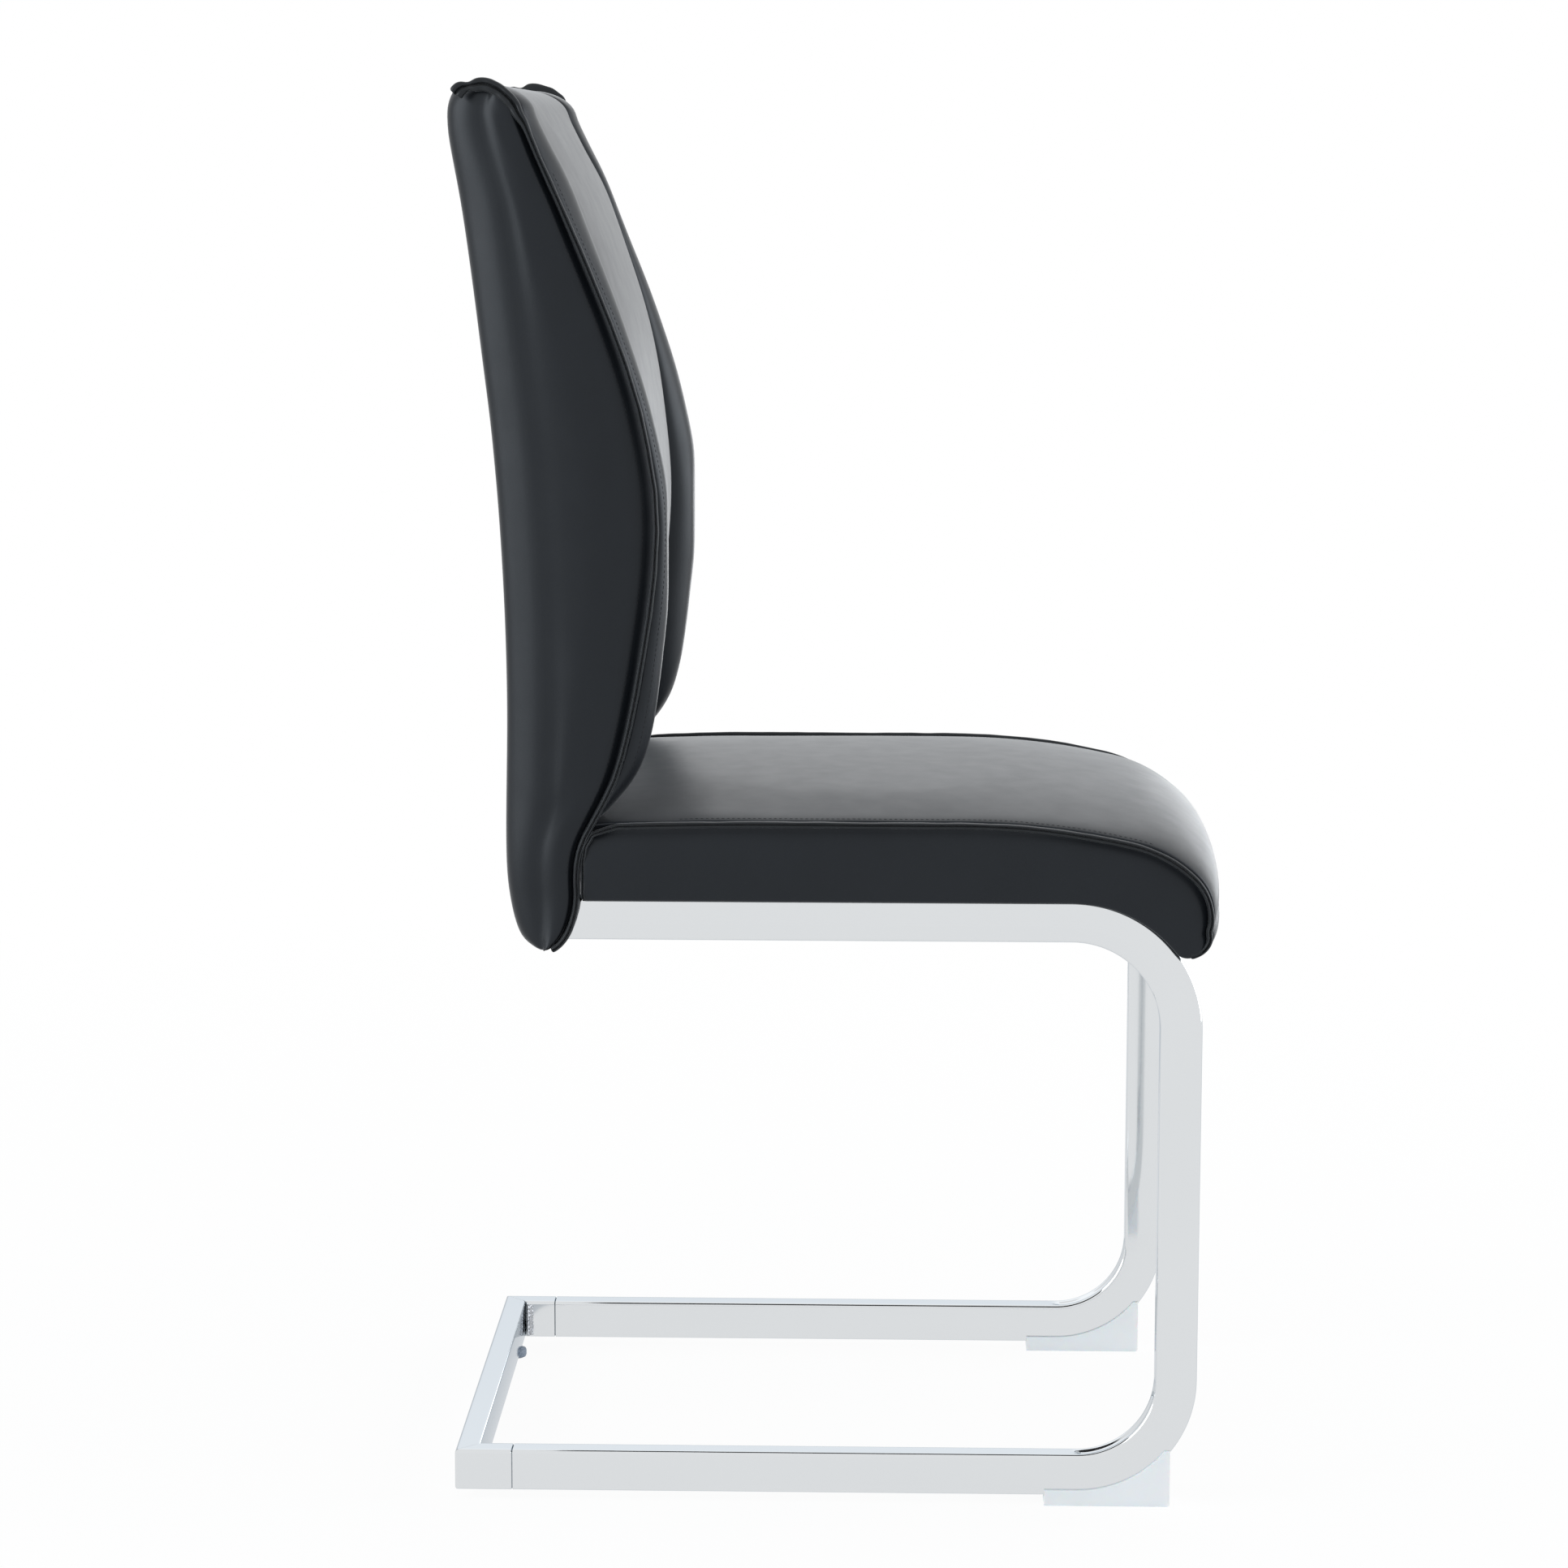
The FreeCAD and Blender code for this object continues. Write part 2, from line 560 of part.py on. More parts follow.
insert_places = [(value(y), value(z)) for y, z in insert_spots()]
group("rail_inserts", threaded_insert(),
      [sideways(side * inner_wall_x, y, z, -side) for _, side in SIDES for y, z in insert_places])


# Seat braces: square tubes welded between the inner walls of the rails


def seat_brace(label, forward):
    body = new_body(label)
    section = sketch_on(body, "YZ_Plane", f"{label}_section")
    low_z = f"({POST_BOLT_Z} - Sizes.cross_tube / 2)"
    high_z = f"({POST_BOLT_Z} + Sizes.cross_tube / 2)"
    rear_y, front_y = f"(-{forward} + Sizes.cross_tube / 2)", f"(-{forward} - Sizes.cross_tube / 2)"
    plain_tube_section(section, front_y, low_z, rear_y, high_z, "Sizes.post_wall")
    pad(body, section, f"{label}_tube", "Sizes.frame_width - 2 * Sizes.tube_thickness", midplane=True)


seat_brace("seat_brace_rear", "Sizes.rear_brace")
seat_brace("seat_brace_front", "Sizes.front_brace")


# Glides and end caps


def front_glide(name, side):
    """A moulded wedge that cradles the lower bend, with low side walls and a stud for the tube's hole."""
    body = new_body(f"front_glide_{name}")
    middle = f"{side} * {TUBE_X}"
    profile = sketch_on(body, "YZ_Plane", f"glide_profile_{name}", middle)
    back = "-(Sizes.frame_depth - Sizes.glide_back)"
    front = "-(Sizes.frame_depth - Sizes.glide_front)"
    lip_radius = f"(Sizes.lower_bend + Sizes.tube_height - Sizes.glide_lip)"
    lip_reach = f"{LOWER_CENTRE_Y} + sqrt({lip_radius}^2 - ({LOWER_CENTRE_Z} - Sizes.glide_rise)^2)"
    corners = [
        (back, "-Sizes.glide_thickness"),
        (f"{front} + 2", "-Sizes.glide_thickness"),
        (front, "-Sizes.glide_thickness + 2"),
        (front, "Sizes.glide_rise"),
        (f"-({lip_reach})", "Sizes.glide_rise"),
        (f"-{LOWER_CENTRE_Y}", "Sizes.glide_lip"),
        (back, "Sizes.glide_lip"),
    ]
    trace(profile, corners, {1: ("2", RIGHT), 4: (lip_radius, LEFT)})
    width = "Sizes.tube_thickness + 2 * Sizes.glide_cheek"
    pad(body, profile, f"glide_wedge_{name}", width, midplane=True)
    doc.recompute()
    before = body.Shape.Volume
    cradle = sketch_on(body, "YZ_Plane", f"glide_cradle_{name}", middle)
    bend_radius = "(Sizes.lower_bend + Sizes.tube_height)"
    cradle_corners = [
        (f"{back} + {MARGIN}", "0"),
        (f"-{LOWER_CENTRE_Y}", "0"),
        (f"-({LOWER_CENTRE_Y} + {bend_radius})", LOWER_CENTRE_Z),
        (f"{back} + {MARGIN}", LOWER_CENTRE_Z),
    ]
    trace(cradle, cradle_corners, {1: (bend_radius, RIGHT)})
    channel = body.newObject("PartDesign::Pocket", f"glide_cradle_cut_{name}")
    channel.Profile = cradle
    channel.SideType = "Symmetric"
    channel.setExpression("Length", "Sizes.tube_thickness")
    volume_check(body, before, f"glide cradle {name}")
    stud = sketch_on(body, "XY_Plane", f"glide_stud_{name}")
    circle(stud, middle, f"-{GLIDE_STUD_Y}", f"Sizes.glide_stud / 2 - {LOOSE}")
    pad(body, stud, f"glide_stud_pad_{name}", "Sizes.glide_stud_length")


def rear_glide_shape():
    """A round push-in glide: a domed foot below z = 0 and a stem with a barb above it."""
    foot, stem, height = S.rear_glide / 2, S.rear_glide_stem / 2 - LOOSE, S.glide_thickness
    outline = [(0, -height), (foot - 1.5, -height), (foot, -height + 1.5), (foot, 0), (stem, 0),
               (stem, S.rear_glide_reach), (0, S.rear_glide_reach)]
    return turned(outline)


def end_cap_shape():
    """A moulded cap for a seat rail's open end, drawn on the right rail."""
    flange = Part.makeBox(S.tube_thickness, S.cap_thickness, S.tube_height,
                          Vector(-tube_x - S.tube_thickness / 2, -S.rail_setback, S.rail_rise))
    inset = S.tube_wall + S.sleeve_clearance
    plug_size = (S.tube_thickness - 2 * inset, S.cap_plug, S.tube_height - 2 * inset)
    plug_corner = Vector(-tube_x - plug_size[0] / 2, -S.rail_setback - S.cap_plug, S.rail_rise + inset)
    plug = Part.makeBox(*plug_size, plug_corner)
    hollow = Part.makeBox(plug_size[0] - 2 * S.cap_wall, S.cap_plug, plug_size[2] - 2 * S.cap_wall,
                          plug_corner + Vector(S.cap_wall, 0, S.cap_wall))
    rounded = [e for e in flange.Edges if abs(e.tangentAt(e.FirstParameter).y) > 0.9]
    return flange.makeChamfer(S.tube_corner, rounded).fuse(plug.cut(hollow)).removeSplitter()


for side_name, side_sign in SIDES:
    front_glide(side_name, side_sign)
group("rear_glides", rear_glide_shape(),
      [upward(side * S.rear_glide_spacing / 2, -S.tube_thickness / 2, 0) for _, side in SIDES])
group("rail_end_caps", end_cap_shape(), [upward(0, 0, 0), upward(2 * tube_x, 0, 0)])


# Seat: every section is a side view, drawn as (forward, height) points


def straight_runs(points, count):
    """An edge of 2 points, or an arc of 3, as a number of straight runs. A count of 0 keeps the arc."""
    spots = [Vector(x, y, 0) for x, y in points]
    if count == 0:
        return [points]
    if len(spots) == 2 or (spots[1] - spots[0]).cross(spots[2] - spots[0]).Length < 1e-3:
        steps = [spots[0] + (spots[-1] - spots[0]) * (i / count) for i in range(count + 1)]
    else:
        arc = Part.Arc(*spots)
        turn = (arc.LastParameter - arc.FirstParameter) / count
        steps = [arc.value(arc.FirstParameter + turn * i) for i in range(count + 1)]
        if (steps[0] - spots[0]).Length > (steps[0] - spots[2]).Length:
            steps.reverse()
    return [[(a.x, a.y), (b.x, b.y)] for a, b in zip(steps, steps[1:])]


def faceted(edges, counts):
    """The edges of an outline, each as its number of straight runs."""
    return [run for points, count in zip(edges, counts) for run in straight_runs(points, count)]


def plane_wire(x, edges):
    """A closed wire in the plane x = constant. Each edge is a list of 2 points, or of 3 for an arc."""
    shapes = []
    for points in edges:
        spots = [Vector(x, -forward, height) for forward, height in points]
        curve = Part.LineSegment(*spots) if len(spots) == 2 else Part.Arc(*spots)
        shapes.append(curve.toShape())
    return Part.Wire(shapes)


def ruled(wires):
    """A solid of ruled faces from wire to wire."""
    solid = Part.makeLoft(wires, True, True)
    return solid if solid.Volume > 0 else solid.reversed()


def turn_arc(start, heading, radius, turn):
    """An arc that sets out at a heading and turns right by turn degrees: its points and its new heading."""
    before = math.radians(heading)

    def on_arc(angle):
        after = math.radians(heading - angle)
        return (start[0] + radius * (math.sin(before) - math.sin(after)),
                start[1] - radius * (math.cos(before) - math.cos(after)))
    return [start, on_arc(turn / 2), on_arc(turn)], heading - turn


# Degrees that the seat edge turns through each arc, and the rise at its rear
SHOULDER_TURN, BROW_TURN, NOSE_TURN, CHIN_TURN = 12.6, 31.4, 46.0, 22.0
REAR_TURN = 2.5
# How much the brow and nose arcs grow from the piping to the crowned middle
BROW_GROWTH, NOSE_GROWTH = 15.0, 10.0
# The rounded tip under the nose stands out by this share of its width
TIP_BULGE = 0.3
# The crown falls off from the middle by this power of the half width
CROWN_POWER = 0.6
CORD_ROOM = S.piping / 2 + S.foam_fit
# Stations from the middle to the edge, as shares of the half width
SEAT_STATIONS = (0, 0.5, 0.85, 1)
# Straight runs of each edge of a seat section: the top from its rear, the tip, the underside and the rear
SEAT_TOP_RUNS = (3, 1, 1, 2, 3, 4, 2)
SEAT_RUNS = SEAT_TOP_RUNS + (4, 0, 1, 1)


def seat_top(inset, bulge):
    """The seat's upper outline from its rear to under the nose, as tangent lines and arcs.

    inset moves it inwards, and bulge (0 to 1) lifts it from the piping to the crowned middle.
    """
    radii = (S.shoulder_radius, S.brow_radius + BROW_GROWTH * bulge, S.nose_radius + NOSE_GROWTH * bulge,
             S.chin_radius)
    turns = (SHOULDER_TURN, BROW_TURN, NOSE_TURN, CHIN_TURN)
    nose = S.seat_nose + bulge * S.nose_crown
    reach, heading = 0.0, 0.0
    for radius, turn in zip(radii[:3], turns[:3]):
        reach += radius * (math.sin(math.radians(heading + turn)) - math.sin(math.radians(heading)))
        heading += turn
    level_end = nose - reach
    top = rail_top + S.seat_edge + bulge * S.seat_crown - inset
    slope = math.radians(REAR_TURN)
    rise_length = (S.rear_rise_radius - inset) * math.sin(slope)
    rise_height = (S.rear_rise_radius - inset) * (1 - math.cos(slope))
    round_radius = S.rear_round - inset
    corner_reach = round_radius * (1 - math.sin(slope))
    corner_drop = round_radius * math.cos(slope)
    rear = S.seat_setback + inset
    rise_start = (rear + corner_reach, top - rise_height)
    corner, heading = turn_arc((rear, rise_start[1] - corner_drop), 90, round_radius, 90 - REAR_TURN)
    rise, heading = turn_arc(rise_start, REAR_TURN, S.rear_rise_radius - inset, REAR_TURN)
    edges = [corner, rise, [(rise_start[0] + rise_length, top), (level_end, top)]]
    start, heading = (level_end, top), 0.0
    for radius, turn in zip(radii, turns):
        arc, heading = turn_arc(start, heading, radius - inset, turn)
        edges.append(arc)
        start = arc[-1]
    return edges


def bend_point(radius, angle):
    """The point (forward, height) at a radius and an angle from upright about the upper bend's centre."""
    turn = math.radians(angle)
    return value(UPPER_CENTRE_Y) + radius * math.sin(turn), value(UPPER_CENTRE_Z) + radius * math.cos(turn)


def seat_section(inset, bulge, drop=0.0):
    """The closed side view: the top outline, the rounded tip and the underside that follows the upper bend.

    drop lowers the top outline further, to make room for the piping.
    """
    top = seat_top(inset + drop, bulge)
    under = S.upper_bend + S.tube_height + inset
    tip, end = top[-1][-1], bend_point(under, S.nose_wrap)
    middle = ((tip[0] + end[0]) / 2, (tip[1] + end[1]) / 2)
    chord = (end[0] - tip[0], end[1] - tip[1])
    tip_middle = (middle[0] - TIP_BULGE * chord[1], middle[1] + TIP_BULGE * chord[0])
    floor = rail_top + inset
    rear = S.seat_setback + inset + drop
    underside = [end, bend_point(under, S.nose_wrap / 2), bend_point(under, 0)]
    closing = [[underside[-1], (rear, floor)], [(rear, floor), top[0][0]]]
    return faceted(top + [[tip, tip_middle, end], underside] + closing, SEAT_RUNS)


def crown(share):
    """How much of the crown shows at a share of the half width: none at the piping, all in the middle."""
    return (1.0 - share * share) ** CROWN_POWER


def symmetric(distances):
    """The distances to both sides of the middle, from right to left."""
    return [-x for x in reversed(distances)] + list(distances[1:])


def banded(main, section, half, inset):
    """A ruled loft over the main stations, and a band at each side that leaves room for the piping."""
    solid = ruled([plane_wire(x, section(x, inset, 0.0)) for x in symmetric(main)])
    for _, side in SIDES:
        wires = [plane_wire(side * x, section(side * x, inset, CORD_ROOM)) for x in (main[-1], half)]
        solid = solid.fuse(ruled(wires))
    return solid


def seat_station(x, inset, drop):
    bulge = crown(min(abs(x) / (seat_width / 2), 1.0))
    return seat_section(inset, bulge if drop == 0 else 0.0, drop)


def seat_shape(inset):
    """The crowned seat, taken in all round by inset."""
    half = seat_width / 2 - inset
    edge = half - S.piping
    return banded([share * edge for share in SEAT_STATIONS], seat_station, half, inset)


BOARD_WRAP = "(Sizes.nose_wrap - Sizes.foam_over_nose)"


def seat_board():
    """Bent plywood: flat over the rails, curving down with the upper bend at the front."""
    body = new_body("seat_board")
    sketch = sketch_on(body, "YZ_Plane", "board_profile")
    low = "(Sizes.upper_bend + Sizes.tube_height + Sizes.cover_thickness)"
    high = f"({low} + Sizes.board_thickness)"
    base = f"({RAIL_TOP} + Sizes.cover_thickness)"
    wrap = f"({BOARD_WRAP} * 1 deg)"
    rear = "-(Sizes.seat_setback + Sizes.cover_thickness + 2 * Sizes.foam_fit + Sizes.piping / 2)"
    corners = [
        (rear, base),
        (f"-{UPPER_CENTRE_Y}", base),
        (f"-({UPPER_CENTRE_Y} + {low} * sin{wrap})", f"{UPPER_CENTRE_Z} + {low} * cos{wrap}"),
        (f"-({UPPER_CENTRE_Y} + {high} * sin{wrap})", f"{UPPER_CENTRE_Z} + {high} * cos{wrap}"),
        (f"-{UPPER_CENTRE_Y}", f"{base} + Sizes.board_thickness"),
        (rear, f"{base} + Sizes.board_thickness"),
    ]
    trace(sketch, corners, {1: (low, LEFT), 3: (high, RIGHT)})
    width = f"{SEAT_WIDTH} - 2 * (Sizes.cover_thickness + Sizes.foam_fit)"
    pad(body, sketch, "board_panel", width, midplane=True)
    doc.recompute()
    before = body.Shape.Volume
    holes = sketch_on(body, "XY_Plane", "board_holes", RAIL_TOP)
    for _, side in SIDES:
        for spot in SEAT_SCREWS:
            circle(holes, f"{side} * {TUBE_X}", f"-{spot}", "Sizes.seat_screw / 2")
    pocket(body, holes, "board_hole_cut", "Sizes.cover_thickness + Sizes.board_thickness", True)
    volume_check(body, before, "board holes")


def below_board_top(half_width):
    """Everything under the board's upper face, as a block to cut from the foam."""
    outer = S.upper_bend + S.tube_height + S.cover_thickness + S.board_thickness
    wrap = value(BOARD_WRAP)
    top = rail_top + S.cover_thickness + S.board_thickness
    rear = S.seat_setback - MARGIN
    edges = [
        [(rear, top), bend_point(outer, 0)],
        [bend_point(outer, 0), bend_point(outer, wrap / 2), bend_point(outer, wrap)],
        [bend_point(outer, wrap), bend_point(S.upper_bend, wrap)],
        [bend_point(S.upper_bend, wrap), (rear, value(UPPER_CENTRE_Z))],
        [(rear, value(UPPER_CENTRE_Z)), (rear, top)],
    ]
    return Part.Face(plane_wire(-half_width, edges)).extrude(Vector(2 * half_width, 0, 0))


def cord_along(x, edges, diameter):
    """A cord of six flats with mitred bends, along straight edges in the plane x = constant."""
    spots = [Vector(x, -forward, height) for forward, height in [edges[0][0]] + [run[-1] for run in edges]]
    headings = [(b - a).normalize() for a, b in zip(spots, spots[1:])]
    across = Vector(1, 0, 0)
    angles = [math.radians(60 * i) for i in range(7)]
    rings = []
    for spot, before, after in zip(spots, headings[:1] + headings, headings + headings[-1:]):
        along = (before + after).normalize()
        outward = across.cross(along) / along.dot(before)
        ring = [spot + (across * math.cos(a) + outward * math.sin(a)) * (diameter / 2) for a in angles]
        rings.append(Part.makePolygon(ring))
    return ruled(rings)


seat_board()
half_seat = seat_width / 2
piping_x = half_seat - S.piping / 2
seat_cord_edges = faceted(seat_top(0, 0), SEAT_TOP_RUNS)[SEAT_TOP_RUNS[0]:]
seat_cords = {side: cord_along(side * piping_x, seat_cord_edges, S.piping) for _, side in SIDES}
seat_foam = seat_shape(S.cover_thickness + S.foam_fit).cut(below_board_top(seat_width))
seat_skin = seat_shape(0.0).cut(seat_shape(S.cover_thickness))
hem_front = value(UPPER_CENTRE_Y) - S.hem
hem_rear = S.seat_setback + S.hem
opening_half = inner_wall_x + S.side_hem
opening = Part.makeBox(2 * opening_half, hem_front - hem_rear, 2 * S.cover_thickness,
                       Vector(-opening_half, -hem_front, rail_top - S.cover_thickness / 2))
seat_skin = seat_skin.cut(opening)
screw_hole = Part.makeCylinder((S.seat_screw + S.bolt_clearance) / 2, 4 * S.cover_thickness)
screw_hole_places = [upward(x, y, rail_top - S.cover_thickness) for x, y in seat_screw_spots]
seat_skin = seat_skin.cut(copies(screw_hole, screw_hole_places))
lining_half = inner_wall_x - 1.0
piece("seat_lining", Part.makeBox(2 * lining_half, hem_front + 10 - (S.seat_setback + 10), S.lining_thickness,
                                  Vector(-lining_half, -(hem_front + 10), rail_top - S.lining_thickness)))


# Back: the welt line and the rear line seen from the side, then sections across the chair


def smooth_step(low, high, at):
    share = min(max((at - low) / (high - low), 0.0), 1.0)
    return share * share * (3 - 2 * share)


WELT_SLOPE = math.asin(S.welt_arc_rise / S.welt_upper_radius)
LINE_START = S.back_waist + S.welt_arc_rise
LINE_DEPTH = S.back_front - S.welt_upper_radius * (1 - math.cos(WELT_SLOPE))
ROUND_START = S.back_top - S.top_rounding
LOWER_AXIS = S.back_front - S.welt_lower_radius
FOOT_AXIS = S.welt_foot + S.welt_foot_radius
FOOT_REACH = S.welt_lower_radius + S.welt_foot_radius
FOOT_HEIGHT = S.back_waist - math.sqrt(FOOT_REACH**2 - (FOOT_AXIS - LOWER_AXIS) ** 2)
FOOT_TOP = S.back_waist - (S.back_waist - FOOT_HEIGHT) * S.welt_lower_radius / FOOT_REACH
REAR_SLOPE = math.asin((ROUND_START - S.back_lean_start) / S.back_lean_radius)
ROUND_FRONT = S.top_rounding / (1 - math.sin(WELT_SLOPE))
ROUND_REAR = S.top_rounding / (1 + math.sin(REAR_SLOPE))
# The middle of each arc over the top: its share of the way back and of the way up
CREST_BACK, CREST_RISE_FRONT, CREST_RISE_REAR = 0.26, 0.64, 0.67
# Where the bolster has sections, as shares of the way from its seam to the welt
BOLSTER_STATIONS = (0, 0.5, 0.8, 1)
# Straight runs of each edge of a back section: front from below, over the top, rear and underside
BACK_FRONT_RUNS = (1, 2, 3, 3, 1)
BACK_RUNS = BACK_FRONT_RUNS + (3, 1, 3, 2, 1, 3, 3)


def welt_depth(height):
    """How far forward the welt lies at a height: straight, arc, arc, hollow arc and upright foot."""
    if height > LINE_START:
        return LINE_DEPTH - (height - LINE_START) * math.tan(WELT_SLOPE)
    if height > S.back_waist:
        upper_axis = S.back_front - S.welt_upper_radius
        return upper_axis + math.sqrt(S.welt_upper_radius**2 - (height - S.back_waist) ** 2)
    if height > FOOT_TOP:
        return LOWER_AXIS + math.sqrt(S.welt_lower_radius**2 - (height - S.back_waist) ** 2)
    if height > FOOT_HEIGHT:
        return FOOT_AXIS - math.sqrt(S.welt_foot_radius**2 - (height - FOOT_HEIGHT) ** 2)
    return S.welt_foot


def rear_depth(height):
    """How far forward the rear face lies at a height: upright, then leaning back along an arc."""
    rise = max(height - S.back_lean_start, 0.0)
    return S.back_rear - S.back_lean_radius + math.sqrt(S.back_lean_radius**2 - rise * rise)


def swell(height, across, half):
    """How far the front stands ahead of the welt line, at a height and a distance from the middle."""
    seam_x = S.seam_spacing / 2
    risen = smooth_step(S.back_waist, S.back_waist + S.seam_height, height)
    seam = (S.seam_valley + S.seam_top) * risen - S.seam_valley
    tame = smooth_step(rail_top, rail_top + S.relief_height, height)
    seam *= tame
    if abs(across) <= seam_x:
        return seam + S.panel_crown * tame * (1 - (across / seam_x) ** 2)
    away = min(abs(height - S.bolster_middle) / S.swell_height, 1.0)
    ridge = (S.bolster_ridge + S.bolster_swell * away * away) * tame
    share = (abs(across) - seam_x) / (half - seam_x)
    return seam * (1 - share) + (ridge - seam / 2) * 4 * share * (1 - share)


def side_round(across, half):
    """How far the rear face comes forward as it rounds into the side band."""
    radius = S.side_rounding
    into = min(max(abs(across) - (half - radius), 0.0), radius)
    return radius - math.sqrt(radius * radius - into * into)


def back_section(across, half, inset, drop):
    """The closed side view of the back at a distance from the middle, as (forward, height) edges.

    drop takes the front and the top in further, to make room for the welt.
    """
    top, low, floor = S.back_top - inset - drop, rail_top, S.back_bottom + inset

    def front(height):
        return welt_depth(height) + (swell(height, across, half) if drop == 0 else 0.0) - inset - drop

    def rear(height):
        return rear_depth(height) + side_round(across, half) + inset

    def rise(line, start, stop):
        middle = (start + stop) / 2
        return [(line(start), start), (line(middle), middle), (line(stop), stop)]

    heights = [low, FOOT_HEIGHT, FOOT_TOP, S.back_waist, LINE_START, ROUND_START]
    edges = [rise(front, a, b) for a, b in zip(heights, heights[1:])]
    front_top, rear_top = front(ROUND_START), rear(ROUND_START)
    crest_front = front_top - ROUND_FRONT * math.cos(WELT_SLOPE)
    crest_rear = rear_top + ROUND_REAR * math.cos(REAR_SLOPE)
    if crest_rear > crest_front - 1:
        crest_front = crest_rear = (crest_front + crest_rear) / 2
        crest_front += 0.5
        crest_rear -= 0.5
    height = top - ROUND_START
    front_middle = (front_top - CREST_BACK * (front_top - crest_front), ROUND_START + CREST_RISE_FRONT * height)
    rear_middle = (rear_top + CREST_BACK * (crest_rear - rear_top), ROUND_START + CREST_RISE_REAR * height)
    edges.append([(front_top, ROUND_START), front_middle, (crest_front, top)])
    edges.append([(crest_front, top), (crest_rear, top)])
    edges.append([(crest_rear, top), rear_middle, (rear_top, ROUND_START)])
    heights = [ROUND_START, S.back_lean_start, low]
    edges += [rise(rear, a, b) for a, b in zip(heights, heights[1:])]
    middle = (front(low) + rear(low)) / 2
    reach, depth = (front(low) - rear(low)) / 2, low - floor
    diagonal = math.sqrt(0.5)
    edges.append([(rear(low), low), (middle - reach * diagonal, low - depth * diagonal), (middle, floor)])
    edges.append([(middle, floor), (middle + reach * diagonal, low - depth * diagonal), (front(low), low)])
    return faceted(edges, BACK_RUNS)


def back_shape(inset):
    """The back, taken in all round by inset."""
    half = seat_width / 2 - inset
    seam_x = S.seam_spacing / 2
    edge = half - S.piping
    main = [0, seam_x / 2] + [seam_x + share * (edge - seam_x) for share in BOLSTER_STATIONS]

    def station(x, inset, drop):
        return back_section(x, half, inset, drop)

    return banded(main, station, half, inset)


def welt_edges():
    """The welt's path: up the front edge of the side band and over the top, as tangent lines and arcs."""
    slope = math.tan(WELT_SLOPE)
    front = [(LINE_DEPTH - (ROUND_START - LINE_START) * slope, ROUND_START), (LINE_DEPTH, LINE_START)]

    def rise(start, stop):
        return [(welt_depth(at), at) for at in (start, (start + stop) / 2, stop)]

    steepness = math.degrees(WELT_SLOPE)
    over, _ = turn_arc(front[0], 90 + steepness, -ROUND_FRONT, steepness - 90)
    crest_rear = rear_depth(ROUND_START) + ROUND_REAR * math.cos(REAR_SLOPE)
    edges = [
        [(S.welt_foot, rail_top), (S.welt_foot, FOOT_HEIGHT)],
        rise(FOOT_HEIGHT, FOOT_TOP),
        rise(FOOT_TOP, S.back_waist),
        rise(S.back_waist, LINE_START),
        [front[1], front[0]],
        over,
        [over[-1], (crest_rear, over[-1][1])],
    ]
    return faceted(edges, BACK_FRONT_RUNS + (3, 1))


# Inner frame of the back: two leaning posts, two cross tubes and a sheet panel


LEANING = Placement(Vector(0, -S.post_setback, S.rail_rise), Rotation(Vector(1, 0, 0), -S.post_lean))
LEAN_SIN, LEAN_COS = "sin(Sizes.post_lean * 1 deg)", "cos(Sizes.post_lean * 1 deg)"
POST_OUTER = "(Sizes.frame_width / 2 - Sizes.tube_thickness - Sizes.insert_flange_thickness)"


def post(name, side):
    """A leaning tube that the rail's inner wall carries, with two bolt holes."""
    body = new_body(f"back_post_{name}")
    section = sketch_on(body, "XY_Plane", f"post_section_{name}")
    inner = f"({POST_OUTER} - Sizes.post_width)"
    x0, x1 = (f"(-{POST_OUTER})", f"(-{inner})") if side < 0 else (inner, POST_OUTER)
    plain_tube_section(section, x0, "(-Sizes.post_depth)", x1, "0", "Sizes.post_wall")
    pad(body, section, f"post_tube_{name}", "Sizes.post_height")
    doc.recompute()
    before = body.Shape.Volume
    holes = sketch_on(body, "YZ_Plane", f"post_holes_{name}")
    for end in (-1, 1):
        forward = "Sizes.post_depth / 2"
        rise = f"(Sizes.tube_height / 2 + {end} * Sizes.post_bolt_spacing / 2)"
        hole_y = f"-({forward} * {LEAN_COS} + {rise} * {LEAN_SIN})"
        hole_z = f"{rise} * {LEAN_COS} - {forward} * {LEAN_SIN}"
        circle(holes, hole_y, hole_z, "(Sizes.bolt + Sizes.bolt_clearance) / 2")
    pocket_through(body, holes, f"post_hole_cut_{name}")
    volume_check(body, before, f"post holes {name}")
    body.Placement = LEANING


def back_cross(label, rise):
    """A square tube welded between the two posts."""
    body = new_body(label)
    section = sketch_on(body, "YZ_Plane", f"{label}_section")
    front = "(-Sizes.post_depth)"
    plain_tube_section(section, front, f"({rise} - Sizes.cross_tube / 2)", f"({front} + Sizes.cross_tube)",
                       f"({rise} + Sizes.cross_tube / 2)", "Sizes.post_wall")
    reach = f"2 * ({POST_OUTER} - Sizes.post_width)"
    pad(body, section, f"{label}_tube", reach, midplane=True)
    body.Placement = LEANING


def support_panel():
    """The sheet that backs the foam, on the front of the posts."""
    body = new_body("back_support_panel")
    outline = sketch_on(body, "XZ_Plane", "panel_outline", "Sizes.post_depth")
    upper_edge = "(Sizes.post_height - Sizes.panel_drop)"
    rectangle(outline, f"(-{POST_OUTER})", "Sizes.panel_rise", POST_OUTER, upper_edge)
    pad(body, outline, "panel_sheet", "Sizes.panel_thickness")
    body.Placement = LEANING


